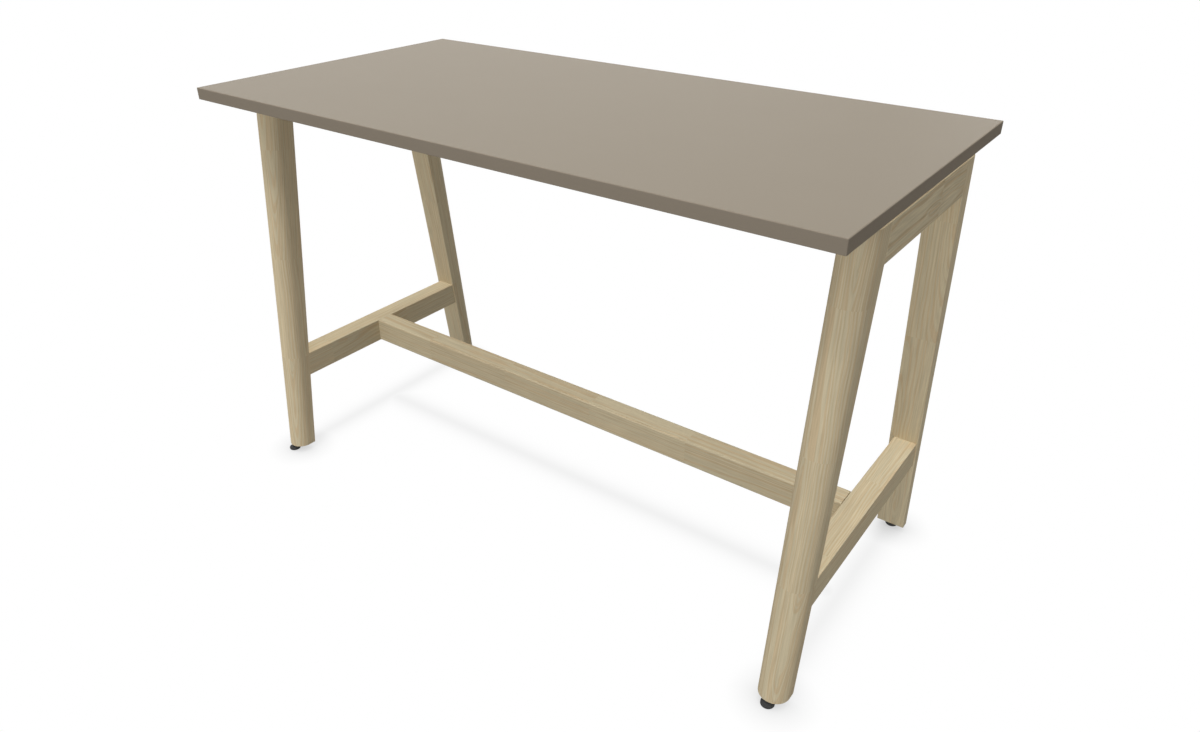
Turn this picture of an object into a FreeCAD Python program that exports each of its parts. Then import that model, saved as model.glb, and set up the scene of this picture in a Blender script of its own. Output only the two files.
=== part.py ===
import FreeCAD, Part
import math
import os

# A standing meeting table: a laminated top on two splayed ash side frames that a long stretcher ties together.
# The origin is on the floor under the middle of the table. X runs along the table, Y across it and Z up.
# Left is -X, right is +X, front is -Y and back is +Y. All lengths are in millimetres.

# ---------------------------------------------------------------- driving dimensions

# Whole table
table_length = 1600.0
table_width = 800.0
table_height = 1035.0

# Tabletop
core_thickness = 25.0
laminate_thickness = 0.8
edge_band_thickness = 2.0
edge_band_rounding = 1.6

# Legs: flat on the inside, half round on the outside, tapered towards the foot
leg_width = 68.0
leg_depth_head = 73.4
leg_depth_foot = 51.5
leg_splay_deg = 7.0
leg_end_inset = 4.0
foot_setback = 30.5

# Top rails
top_rail_height = 73.5
top_rail_rounding = 1.0

# Cross stretchers: their outer faces sit back from the legs, and both are set off the same way
cross_stretcher_width = 54.0
cross_stretcher_height = 66.0
cross_stretcher_level = 297.0
cross_stretcher_offset = 4.0
cross_stretcher_rounding = 1.0

# Long stretcher
long_stretcher_width = 54.0
long_stretcher_height = 66.0
long_stretcher_offset = -3.0
long_stretcher_rounding = 4.0

# Loose tenons in the leg joints
tenon_thickness = 14.0
tenon_height = 44.0
tenon_length = 75.0
tenon_bevel = 4.0
tenon_clearance = 0.1
tenon_glue_room = 1.0

# Knock-down fitting at each end of the long stretcher
dowel_radius = 5.0
dowel_length = 50.0
dowel_spacing = 34.0
dowel_flutes = 10
dowel_clearance = 0.1
dowel_glue_room = 1.0
tie_rod_radius = 4.0
tie_rod_hole_clearance = 0.5
tie_insert_radius = 6.0
tie_insert_length = 25.0
tie_pocket_radius = 15.0
tie_pocket_setback = 42.0
tie_pocket_headroom = 13.0
half_moon_height = 22.0
half_moon_flat_offset = 6.0
nut_across_flats = 13.0
nut_thickness = 6.5
tie_rod_tail = 2.5

# Mounting plates between the frames and the tabletop
plate_thickness = 8.0
plate_length = 140.0
plate_width = 60.0
plate_reach = 82.0
plate_end_gap = 45.0
plate_screw_spacing = 34.0
plate_corner_bevel = 5.0

# Support rails: folded channels under the tabletop
support_rail_width = 50.0
support_rail_height = 28.0
support_rail_gauge = 2.5
support_rail_bend = 4.0
support_rail_setback = 175.0
support_rail_end_gap = 40.0
support_rail_screws = 3
support_rail_screw_margin = 60.0

# Screws, whose round shanks, heads and holes are drawn with few flats
fastener_sides = 8
frame_screw_radius = 3.5
frame_screw_head_radius = 7.0
frame_screw_length = 55.0
board_screw_radius = 2.5
board_screw_head_radius = 5.0
board_screw_head_height = 3.0
board_screw_bite = 18.0
screw_clearance = 0.05
screw_hole_clearance = 0.4

# Levelling feet
pad_radius = 15.0
pad_height = 11.0
pad_sides = 32
pad_rim_height = 5.0
pad_rim_bevel = 1.0
pad_hub_radius = 6.0
pad_hub_foot_height = 7.0
pad_socket_depth = 6.5
collar_across_flats = 10.0
collar_height = 7.7
spindle_radius = 4.0
spindle_stub_radius = 3.0
foot_travel = 12.0
glide_insert_radius = 6.0
glide_insert_length = 20.0
glide_outset = 4.5
glide_face_distance = 33.0
glide_offset_x = -7.5
glide_offset_y = -6.0
thread_clearance = 0.05
stop_clearance = 0.2
pad_play = 0.1
tip_bore_clearance = 0.5
tip_bore_end_room = 3.0
insert_clearance = 0.05

# ---------------------------------------------------------------- worked-out levels and places

board_thickness = core_thickness + 2 * laminate_thickness
board_underside = table_height - board_thickness
frame_head = board_underside - plate_thickness
leg_foot = pad_height + pad_play + collar_height + stop_clearance
spindle_reach = glide_insert_length + foot_travel
frame_x = table_length / 2 - leg_end_inset - leg_width / 2
foot_face = table_width / 2 - foot_setback - leg_depth_foot
splay_slope = math.tan(math.radians(leg_splay_deg))

top_rail_bottom = frame_head - top_rail_height
cross_stretcher_bottom = cross_stretcher_level - cross_stretcher_height
long_stretcher_bottom = cross_stretcher_level - long_stretcher_height
tie_level = cross_stretcher_level - min(cross_stretcher_height, long_stretcher_height) / 2

plate_centre_y = foot_face - (frame_head - leg_foot) * splay_slope - plate_end_gap - plate_width / 2
support_rail_y = table_width / 2 - support_rail_setback - support_rail_width / 2
support_rail_half_length = frame_x - leg_width / 2 - support_rail_end_gap

ENDS = {"left": -1, "right": 1}
SIDES = {"front": -1, "back": 1}
CORNERS = [(side, end) for side in SIDES for end in ENDS]

X = FreeCAD.Vector(1, 0, 0)
Y = FreeCAD.Vector(0, 1, 0)
Z = FreeCAD.Vector(0, 0, 1)


# ---------------------------------------------------------------- small helpers


def vec(x, y, z):
    """A point or direction."""
    return FreeCAD.Vector(x, y, z)


def box(low, high):
    """A box between two opposite corners."""
    size = high.sub(low)
    return Part.makeBox(size.x, size.y, size.z, low)


def rod(radius, start, end):
    """A round bar from one point to another."""
    along = end.sub(start)
    return Part.makeCylinder(radius, along.Length, start, along)


def ring_points(radius, centre, along, sides):
    """The corners of a regular polygon round an axis that runs along X or Z, with flats to the axes across it."""
    first = Y if abs(along.x) > 0 else X
    second = along.cross(first).normalize()
    points = []
    for step in range(sides):
        angle = 2 * math.pi * (step + 0.5) / sides
        points.append(centre + first * (radius * math.cos(angle)) + second * (radius * math.sin(angle)))
    return points


def prism(radius, start, end, sides, end_radius=None):
    """A straight or tapered bar with flat sides. The radius is to its corners."""
    along = end.sub(start)
    near = ring_points(radius, start, along, sides)
    far = ring_points(radius if end_radius is None else end_radius, end, along, sides)
    outlines = [near, far]
    for step in range(sides):
        after = (step + 1) % sides
        outlines.append([near[step], near[after], far[after], far[step]])
    faces = [Part.Face(Part.makePolygon(points + [points[0]])) for points in outlines]
    return Part.Solid(Part.Shell(faces))


def hex_bar(across_flats, start, end):
    """A hexagonal bar with two of its flats facing along the first direction across it."""
    return prism(across_flats / math.sqrt(3), start, end, 6)


def cut_all(shape, tools):
    """The shape with every tool cut out of it."""
    return shape.cut(Part.makeCompound(tools)) if tools else shape


def long_edges(shape, direction):
    """The straight edges that run along a direction."""
    found = []
    for edge in shape.Edges:
        if edge.Curve.TypeId != "Part::GeomLine":
            continue
        if abs(abs(edge.tangentAt(edge.FirstParameter).dot(direction)) - 1) < 1e-6:
            found.append(edge)
    return found


def face_y(z):
    """Half the clear distance between a frame's legs at a height."""
    return foot_face - (z - leg_foot) * splay_slope


def frame_centre(end):
    """The X of the middle of a side frame's legs."""
    return ENDS[end] * frame_x


def stretcher_centre(end):
    """The X of the middle of a cross stretcher."""
    return frame_centre(end) + cross_stretcher_offset


def tie_face(end):
    """The X of the cross stretcher's face that the long stretcher butts against."""
    return stretcher_centre(end) - ENDS[end] * cross_stretcher_width / 2


# ---------------------------------------------------------------- tabletop


def board_layer(bottom, thickness):
    """A sheet of the tabletop inside the edge bands."""
    half_x = table_length / 2 - edge_band_thickness
    half_y = table_width / 2 - edge_band_thickness
    return box(vec(-half_x, -half_y, bottom), vec(half_x, half_y, bottom + thickness))


def edge_ring():
    """The four edge bands in one ring, with their upper and lower arrises rounded."""
    half_x = table_length / 2
    half_y = table_width / 2
    block = box(vec(-half_x, -half_y, board_underside), vec(half_x, half_y, table_height))
    arrises = long_edges(block, X) + long_edges(block, Y)
    block = block.makeFillet(min(edge_band_rounding, 0.9 * edge_band_thickness), arrises)
    return block.cut(board_layer(board_underside, board_thickness))


def edge_bands():
    """The long bands run past the ends of the short ones."""
    ring = edge_ring()
    reach = table_length + table_width
    inner_y = table_width / 2 - edge_band_thickness
    bands = {}
    for side, sign in SIDES.items():
        near, far = sorted((sign * inner_y, sign * reach))
        bands["edge_band_" + side] = ring.common(box(vec(-reach, near, 0), vec(reach, far, reach)))
    for end, sign in ENDS.items():
        near, far = sorted((0, sign * reach))
        bands["edge_band_" + end] = ring.common(box(vec(near, -inner_y, 0), vec(far, inner_y, reach)))
    return bands


def tabletop():
    """The core and its two laminates, drilled from below for the board screws."""
    holes = [board_screw_hole(point) for point in board_screw_points()]
    core = board_layer(board_underside + laminate_thickness, core_thickness)
    underside = board_layer(board_underside, laminate_thickness)
    return {
        "tabletop_core": cut_all(core, holes),
        "top_laminate": board_layer(table_height - laminate_thickness, laminate_thickness),
        "underside_laminate": cut_all(underside, holes),
    }


# ---------------------------------------------------------------- legs, rails and stretchers


def leg_section(end, side, z, depth):
    """A leg's outline at a height: a flat inner face, two short sides and a half-round outer face."""
    middle = frame_centre(end)
    sign = SIDES[side]
    inner = sign * face_y(z)
    shoulder = inner + sign * (depth - leg_width / 2)
    low_x = middle - leg_width / 2
    high_x = middle + leg_width / 2
    edges = [
        Part.makeLine(vec(low_x, inner, z), vec(high_x, inner, z)),
        Part.makeLine(vec(high_x, inner, z), vec(high_x, shoulder, z)),
        Part.Arc(vec(high_x, shoulder, z), vec(middle, inner + sign * depth, z), vec(low_x, shoulder, z)).toShape(),
        Part.makeLine(vec(low_x, shoulder, z), vec(low_x, inner, z)),
    ]
    return Part.Wire(edges)


def leg(end, side):
    """A tapered leg, mortised for its two tenons and bored for its levelling foot."""
    foot = leg_section(end, side, leg_foot, leg_depth_foot)
    head = leg_section(end, side, frame_head, leg_depth_head)
    solid = Part.makeLoft([foot, head], True, True)
    return cut_all(solid, [rail_mortise(end, side), stretcher_mortise(end, side)] + foot_bores(end, side))


def cross_member(middle, width, bottom, top, rounding):
    """A bar across a side frame, with both ends cut to the splay of the legs."""
    points = [
        vec(middle - width / 2, -face_y(bottom), bottom),
        vec(middle - width / 2, face_y(bottom), bottom),
        vec(middle - width / 2, face_y(top), top),
        vec(middle - width / 2, -face_y(top), top),
    ]
    bar = Part.Face(Part.makePolygon(points + [points[0]])).extrude(X * width)
    return bar.makeFillet(rounding, long_edges(bar, Y))


def top_rail(end):
    """The bar at the head of a side frame."""
    bar = cross_member(frame_centre(end), leg_width, top_rail_bottom, frame_head, top_rail_rounding)
    cuts = [rail_mortise(end, side) for side in SIDES]
    cuts += [frame_screw_hole(point) for point in frame_screw_points(end)]
    return cut_all(bar, cuts)


def cross_stretcher(end):
    """The low bar of a side frame, which also takes an end of the long stretcher."""
    middle = stretcher_centre(end)
    bar = cross_member(
        middle, cross_stretcher_width, cross_stretcher_bottom, cross_stretcher_level, cross_stretcher_rounding
    )
    cuts = [stretcher_mortise(end, side) for side in SIDES]
    return cut_all(bar, cuts + tie_dowel_holes(end) + [tie_insert_hole(end)])


def long_stretcher():
    """The bar along the table, bored at both ends and pocketed from below for its fittings."""
    low = vec(tie_face("left"), long_stretcher_offset - long_stretcher_width / 2, long_stretcher_bottom)
    high = vec(tie_face("right"), long_stretcher_offset + long_stretcher_width / 2, cross_stretcher_level)
    bar = box(low, high)
    bar = bar.makeFillet(long_stretcher_rounding, long_edges(bar, X))
    cuts = []
    for end in ENDS:
        cuts += tie_dowel_holes(end) + [tie_rod_hole(end), tie_pocket(end)]
    return cut_all(bar, cuts)


# ---------------------------------------------------------------- loose tenons


def tenon(middle, side, level, growth, end_room):
    """A flat bar with bevelled long edges, centred on a leg's inner face at a height."""
    joint = SIDES[side] * face_y(level)
    half_length = tenon_length / 2 + end_room
    half_thickness = tenon_thickness / 2 + growth
    half_height = tenon_height / 2 + growth
    low = vec(middle - half_thickness, joint - half_length, level - half_height)
    high = vec(middle + half_thickness, joint + half_length, level + half_height)
    bar = box(low, high)
    return bar.makeChamfer(min(tenon_bevel, 0.4 * tenon_thickness), long_edges(bar, Y))


def rail_tenon(end, side, growth=0.0, end_room=0.0):
    """The tenon between a top rail and a leg."""
    return tenon(frame_centre(end), side, frame_head - top_rail_height / 2, growth, end_room)


def stretcher_tenon(end, side, growth=0.0, end_room=0.0):
    """The tenon between a cross stretcher and a leg."""
    level = cross_stretcher_level - cross_stretcher_height / 2
    return tenon(stretcher_centre(end), side, level, growth, end_room)


def rail_mortise(end, side):
    """The slot for a rail tenon, through the leg's face and the rail's end."""
    return rail_tenon(end, side, tenon_clearance, tenon_glue_room)


def stretcher_mortise(end, side):
    """The slot for a stretcher tenon, through the leg's face and the stretcher's end."""
    return stretcher_tenon(end, side, tenon_clearance, tenon_glue_room)


# ---------------------------------------------------------------- knock-down fitting of the long stretcher


def tie_point(end, inward, across=0.0, up=0.0):
    """A point on the fitting's axis, measured inwards from the face where the two stretchers meet."""
    return vec(tie_face(end) - ENDS[end] * inward, long_stretcher_offset + across, tie_level + up)


def tie_dowel_rows(end, radius, half_length):
    """Two bars side by side across the joint, one on each side of the tie rod."""
    rows = []
    for across in (-dowel_spacing / 2, dowel_spacing / 2):
        start = tie_point(end, -half_length, across)
        rows.append(prism(radius, start, tie_point(end, half_length, across), dowel_flutes))
    return rows


def tie_dowels(end):
    """The dowels that locate the long stretcher on a cross stretcher."""
    return tie_dowel_rows(end, dowel_radius, dowel_length / 2)


def tie_dowel_holes(end):
    """The holes for the locating dowels."""
    return tie_dowel_rows(end, dowel_radius + dowel_clearance, dowel_length / 2 + dowel_glue_room)


def tie_bar(end, radius, start, finish):
    """A bar on the fitting's axis, between two distances inwards from the joint."""
    return prism(radius, tie_point(end, start), tie_point(end, finish), fastener_sides)


def tie_insert(end):
    """The threaded sleeve in the cross stretcher."""
    sleeve = tie_bar(end, tie_insert_radius, -tie_insert_length, 0)
    return sleeve.cut(tie_bar(end, tie_rod_radius + thread_clearance, -tie_insert_length, 0))


def tie_insert_hole(end):
    """The hole for the threaded sleeve."""
    return tie_bar(end, tie_insert_radius + insert_clearance, -tie_insert_length, 0)


def tie_nut_end():
    """How far in from the joint the nut's free face lies."""
    return tie_pocket_setback - half_moon_flat_offset + nut_thickness


def tie_rod(end):
    """The threaded rod from the sleeve to just past the nut."""
    return tie_bar(end, tie_rod_radius, -tie_insert_length, tie_nut_end() + tie_rod_tail)


def tie_rod_hole(end):
    """The bore in the long stretcher's end, from the joint to the pocket."""
    return tie_bar(end, tie_rod_radius + tie_rod_hole_clearance, 0, tie_pocket_setback)


def tie_pocket(end):
    """The round pocket, bored from the underside of the long stretcher."""
    floor = tie_point(end, tie_pocket_setback, up=long_stretcher_bottom - tie_level)
    roof = tie_point(end, tie_pocket_setback, up=tie_pocket_headroom)
    return rod(tie_pocket_radius, floor, roof)


def half_moon_washer(end):
    """A washer that bears on the pocket's round wall and gives the nut a flat seat."""
    radius = tie_pocket_radius - insert_clearance
    low = tie_point(end, tie_pocket_setback, up=-half_moon_height / 2)
    high = tie_point(end, tie_pocket_setback, up=half_moon_height / 2)
    disc = rod(radius, low, high)
    near = tie_point(end, tie_pocket_setback - half_moon_flat_offset, -radius, -half_moon_height / 2)
    far = tie_point(end, tie_pocket_setback - radius, radius, half_moon_height / 2)
    keep = box(vec(min(near.x, far.x), near.y, near.z), vec(max(near.x, far.x), far.y, far.z))
    return disc.common(keep).cut(tie_rod_hole(end))


def tie_nut(end):
    """The hexagon nut against the flat of the washer."""
    seat = tie_pocket_setback - half_moon_flat_offset
    nut = hex_bar(nut_across_flats, tie_point(end, seat), tie_point(end, tie_nut_end()))
    return nut.cut(tie_bar(end, tie_rod_radius + thread_clearance, seat, tie_nut_end()))


# ---------------------------------------------------------------- mounting plates


def plate_span(end):
    """The inboard and outboard X of a mounting plate, which reaches inwards past the top rail."""
    inboard = frame_x - leg_width / 2 - plate_reach
    return ENDS[end] * inboard, ENDS[end] * (inboard + plate_length)


def frame_screw_points(end):
    """Where the countersunk screws go down into a top rail, at the plates' upper face."""
    points = []
    for sign in SIDES.values():
        for across in (-plate_screw_spacing / 2, plate_screw_spacing / 2):
            points.append(vec(frame_centre(end), sign * plate_centre_y + across, board_underside))
    return points


def plate_board_screw_points(end, side):
    """Where the board screws go up through a mounting plate, at the plate's lower face."""
    middle = ENDS[end] * (frame_x - leg_width / 2 - plate_reach / 2)
    points = []
    for across in (-plate_screw_spacing / 2, plate_screw_spacing / 2):
        points.append(vec(middle, SIDES[side] * plate_centre_y + across, frame_head))
    return points


def mounting_plate(end, side):
    """A flat steel plate, screwed down to the top rail and up to the tabletop."""
    inboard, outboard = plate_span(end)
    middle = SIDES[side] * plate_centre_y
    low = vec(min(inboard, outboard), middle - plate_width / 2, frame_head)
    high = vec(max(inboard, outboard), middle + plate_width / 2, board_underside)
    plate = box(low, high)
    plate = plate.makeChamfer(plate_corner_bevel, long_edges(plate, Z))
    holes = [frame_screw_hole(point) for point in frame_screw_points(end)]
    holes += [plate_clearance_hole(point) for point in plate_board_screw_points(end, side)]
    return cut_all(plate, holes)


def plate_clearance_hole(point):
    """The hole that a board screw passes through in a plate."""
    return prism(board_screw_radius + screw_hole_clearance, point, point + Z * plate_thickness, fastener_sides)


# ---------------------------------------------------------------- support rails


def support_rail(side):
    """A folded channel with its web against the tabletop."""
    middle = SIDES[side] * support_rail_y
    low = vec(-support_rail_half_length, middle - support_rail_width / 2, board_underside - support_rail_height)
    high = vec(support_rail_half_length, middle + support_rail_width / 2, board_underside)
    outer = rounded_above(box(low, high), board_underside, support_rail_bend)
    wall = vec(0, support_rail_gauge, 0)
    roof = Z * support_rail_gauge
    inner = rounded_above(box(low + wall, high - wall - roof), high.z - roof.z, support_rail_bend - support_rail_gauge)
    holes = [rail_clearance_hole(point) for point in rail_board_screw_points(side)]
    return cut_all(outer.cut(inner), holes)


def rounded_above(block, level, radius):
    """A block with its two upper long edges rounded."""
    upper = [edge for edge in long_edges(block, X) if abs(edge.CenterOfMass.z - level) < 1e-6]
    return block.makeFillet(max(radius, 0.2), upper)


def rail_board_screw_points(side):
    """Where the board screws go up through a support rail, under its web."""
    first = -support_rail_half_length + support_rail_screw_margin
    pitch = -2 * first / (support_rail_screws - 1)
    middle = SIDES[side] * support_rail_y
    level = board_underside - support_rail_gauge
    return [vec(first + pitch * step, middle, level) for step in range(support_rail_screws)]


def rail_clearance_hole(point):
    """The hole that a board screw passes through in a support rail."""
    return prism(board_screw_radius + screw_hole_clearance, point, point + Z * support_rail_gauge, fastener_sides)


# ---------------------------------------------------------------- screws


def frame_screw(point, growth=0.0):
    """A countersunk screw with its head flush with the plate's upper face."""
    neck = point - Z * (frame_screw_head_radius - frame_screw_radius)
    tip = point - Z * frame_screw_length
    lower = frame_screw_radius + growth
    head = prism(frame_screw_head_radius + growth, point, neck, fastener_sides, lower)
    return head.fuse(prism(lower, neck, tip, fastener_sides))


def frame_screw_hole(point):
    """The countersunk hole through a plate and the pilot hole in the top rail."""
    return frame_screw(point, screw_clearance)


def board_screw_points():
    """Every board screw's place, at the face that its head bears on."""
    points = []
    for side, end in CORNERS:
        points += plate_board_screw_points(end, side)
    for side in SIDES:
        points += rail_board_screw_points(side)
    return points


def board_screw(point):
    """A pan-head screw up into the tabletop."""
    tip = vec(point.x, point.y, board_underside + board_screw_bite)
    head = prism(board_screw_head_radius, point - Z * board_screw_head_height, point, fastener_sides)
    return head.fuse(prism(board_screw_radius, point, tip, fastener_sides))


def board_screw_hole(point):
    """The pilot hole for a board screw."""
    start = vec(point.x, point.y, board_underside)
    return prism(board_screw_radius + screw_clearance, start, start + Z * board_screw_bite, fastener_sides)


# ---------------------------------------------------------------- levelling feet


def foot_point(end, side, z):
    """A point on the axis of a levelling foot. All four feet are set off the same way."""
    x = ENDS[end] * (frame_x + glide_outset) + glide_offset_x
    y = SIDES[side] * (foot_face + glide_face_distance) + glide_offset_y
    return vec(x, y, z)


def foot_bores(end, side):
    """The stepped bore in a leg's end: wide for the sleeve, and narrower above it for the spindle's tip."""
    mouth = foot_point(end, side, leg_foot)
    sleeve_end = mouth + Z * glide_insert_length
    tip_end = mouth + Z * (spindle_reach + tip_bore_end_room)
    return [
        prism(glide_insert_radius + insert_clearance, mouth, sleeve_end, fastener_sides),
        prism(spindle_radius + tip_bore_clearance, mouth, tip_end, fastener_sides),
    ]


def glide_insert(end, side):
    """The threaded sleeve in a leg's end."""
    mouth = foot_point(end, side, leg_foot)
    inner_end = mouth + Z * glide_insert_length
    sleeve = prism(glide_insert_radius, mouth, inner_end, fastener_sides)
    return sleeve.cut(rod(spindle_radius + thread_clearance, mouth, inner_end))


def foot_spindle(end, side):
    """The threaded spindle, with a hexagon collar to turn it by and a plain stub in the pad."""
    seat = foot_point(end, side, pad_height + pad_play)
    collar_top = seat + Z * collar_height
    collar = hex_bar(collar_across_flats, seat, collar_top)
    stub = rod(spindle_stub_radius, seat - Z * (pad_socket_depth - stop_clearance), seat)
    thread = rod(spindle_radius, collar_top, foot_point(end, side, leg_foot + spindle_reach))
    return collar.fuse([stub, thread])


def foot_pad(end, side):
    """The pad: a bevelled rim, a cone up to the hub and a blind socket for the spindle."""
    profile = [
        (0.0, pad_radius - pad_rim_bevel),
        (pad_rim_bevel, pad_radius),
        (pad_rim_height, pad_radius),
        (pad_hub_foot_height, pad_hub_radius),
        (pad_height, pad_hub_radius),
    ]
    tiers = []
    for (low, low_radius), (high, high_radius) in zip(profile, profile[1:]):
        start = foot_point(end, side, low)
        tiers.append(prism(low_radius, start, foot_point(end, side, high), pad_sides, high_radius))
    floor = foot_point(end, side, pad_height - pad_socket_depth)
    socket = rod(spindle_stub_radius + thread_clearance, floor, foot_point(end, side, pad_height))
    return tiers[0].fuse(tiers[1:]).cut(socket)


# ---------------------------------------------------------------- assembly


def frame_nodes():
    """The wooden pieces and the steel that carries the top."""
    nodes = {"long_stretcher": long_stretcher()}
    for end in ENDS:
        nodes["top_rail_" + end] = top_rail(end)
        nodes["cross_stretcher_" + end] = cross_stretcher(end)
    for side, end in CORNERS:
        nodes["leg_" + side + "_" + end] = leg(end, side)
        nodes["mounting_plate_" + side + "_" + end] = mounting_plate(end, side)
    for side in SIDES:
        nodes["support_rail_" + side] = support_rail(side)
    return nodes


def fastener_nodes():
    """Tenons, dowels, screws and the long stretcher's fittings, each kind as a group of separate solids."""
    frame_screws = []
    dowels = []
    for end in ENDS:
        frame_screws += [frame_screw(point) for point in frame_screw_points(end)]
        dowels += tie_dowels(end)
    return {
        "rail_tenons": Part.makeCompound([rail_tenon(end, side) for side, end in CORNERS]),
        "stretcher_tenons": Part.makeCompound([stretcher_tenon(end, side) for side, end in CORNERS]),
        "stretcher_dowels": Part.makeCompound(dowels),
        "tie_inserts": Part.makeCompound([tie_insert(end) for end in ENDS]),
        "tie_rods": Part.makeCompound([tie_rod(end) for end in ENDS]),
        "half_moon_washers": Part.makeCompound([half_moon_washer(end) for end in ENDS]),
        "tie_nuts": Part.makeCompound([tie_nut(end) for end in ENDS]),
        "frame_screws": Part.makeCompound(frame_screws),
        "board_screws": Part.makeCompound([board_screw(point) for point in board_screw_points()]),
    }


def foot_nodes():
    """The four levelling feet."""
    nodes = {}
    for side, end in CORNERS:
        corner = side + "_" + end
        nodes["glide_insert_" + corner] = glide_insert(end, side)
        nodes["foot_spindle_" + corner] = foot_spindle(end, side)
        nodes["foot_pad_" + corner] = foot_pad(end, side)
    return nodes


def write_nodes(nodes):
    """One STEP file per node."""
    os.makedirs("parts", exist_ok=True)
    for name, shape in nodes.items():
        shape.exportStep("parts/" + name + ".step")


def main():
    """Build every piece and write it."""
    nodes = tabletop()
    nodes.update(edge_bands())
    nodes.update(frame_nodes())
    nodes.update(fastener_nodes())
    nodes.update(foot_nodes())
    write_nodes(nodes)


main()
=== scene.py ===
"""Looks of a standing meeting table.

A laminated top stands on two splayed ash side frames, and a long stretcher ties the frames together. Every
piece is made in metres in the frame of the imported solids: X runs along the table, Y across it and Z up, with
the origin on the floor under the middle of the top. Left is -X, right is +X, front is -Y and back is +Y.
"""

from __future__ import annotations

import logging
import math
from dataclasses import dataclass
from enum import Enum
from typing import Any, Callable, Iterable, Mapping, Optional, Sequence, Union

import bmesh
import bpy
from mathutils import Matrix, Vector

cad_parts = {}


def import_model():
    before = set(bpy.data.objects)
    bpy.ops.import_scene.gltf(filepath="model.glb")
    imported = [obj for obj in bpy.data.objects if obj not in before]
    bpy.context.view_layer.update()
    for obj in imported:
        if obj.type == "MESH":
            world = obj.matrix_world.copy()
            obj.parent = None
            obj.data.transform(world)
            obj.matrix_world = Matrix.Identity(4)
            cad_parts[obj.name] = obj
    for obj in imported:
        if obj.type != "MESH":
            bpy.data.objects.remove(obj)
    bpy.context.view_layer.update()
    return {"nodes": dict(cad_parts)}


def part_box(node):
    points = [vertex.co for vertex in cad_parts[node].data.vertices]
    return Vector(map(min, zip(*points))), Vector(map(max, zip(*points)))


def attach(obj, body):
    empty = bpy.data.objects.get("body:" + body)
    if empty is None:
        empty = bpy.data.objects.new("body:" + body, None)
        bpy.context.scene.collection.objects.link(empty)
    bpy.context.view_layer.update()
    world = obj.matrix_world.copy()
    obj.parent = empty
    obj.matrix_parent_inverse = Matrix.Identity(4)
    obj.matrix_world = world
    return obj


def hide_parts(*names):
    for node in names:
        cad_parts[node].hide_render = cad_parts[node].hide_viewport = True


MM = 0.001
QUARTER = math.pi / 2
WHITE = (1.0, 1.0, 1.0, 1.0)
HEXAGON = 6
SMALL_ROUND = 32  # sides of small round parts and holes
IN_LINE = 0.999  # least cosine between an edge and the direction that it lies along
FACING = 0.9  # least cosine between a face's normal and the direction that it looks in
HAIR = 0.01 * MM  # what still counts as the same height
LOG = logging.getLogger("table")

Pair = tuple[float, float]
Rgb = tuple[float, float, float]
Unit = tuple[float, float, float]
Value = Union["Signal", float, int]
Triple = Union["Signal", Sequence[float]]
EdgeTest = Callable[[bmesh.types.BMEdge], bool]


def srgb(red: int, green: int, blue: int) -> Rgb:
    """A colour as a screen shows it, from 0 to 255, in the linear values that shaders take."""
    shares = (channel / 255 for channel in (red, green, blue))
    return tuple(share / 12.92 if share <= 0.04045 else ((share + 0.055) / 1.055) ** 2.4 for share in shares)


def arc(centre: Pair, radius: float, start: float, finish: float, steps: int) -> list[Pair]:
    """Points along a round stretch of an outline.

    Args:
        centre: the middle of its circle.
        radius: the circle's radius.
        start: the angle of its first point.
        finish: the angle of its last point.
        steps: how many chords it has.

    Returns:
        The points, with both ends.
    """
    x, y = centre
    turns = [start + (finish - start) * step / steps for step in range(steps + 1)]
    return [(x + radius * math.cos(turn), y + radius * math.sin(turn)) for turn in turns]


class Place(Enum):
    """A place on the table, named by the sign of one of its coordinates."""

    @property
    def word(self) -> str:
        """The place inside a node's name."""
        return self.name.lower()


class End(Place):
    """An end of the table, with the sign of its X."""

    LEFT = -1
    RIGHT = 1

    @property
    def outward(self) -> Vector:
        """The direction out past the end."""
        return Vector((self.value, 0, 0))

    def x_of(self, low: Vector, high: Vector) -> float:
        """The X at this end of a box."""
        return high.x if self is End.RIGHT else low.x


class Side(Place):
    """A long side of the table, with the sign of its Y."""

    FRONT = -1
    BACK = 1

    @property
    def outward(self) -> Vector:
        """The direction out past the side."""
        return Vector((0, self.value, 0))


class Axis(Enum):
    """The table's three directions."""

    LENGTHWAYS = (1.0, 0.0, 0.0)
    CROSSWAYS = (0.0, 1.0, 0.0)
    UPRIGHT = (0.0, 0.0, 1.0)


class Slot(Enum):
    """The finishes that the table's record names for pieces made here."""

    ASH = "ash"
    EDGE_BAND = "edge_band"
    BLACK_STEEL = "black_steel"
    ZINC_STEEL = "zinc_steel"
    FOOT_PLASTIC = "foot_plastic"
    DARK_STEEL = "dark_steel"


# ---------------------------------------------------------------- shader maths


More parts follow.
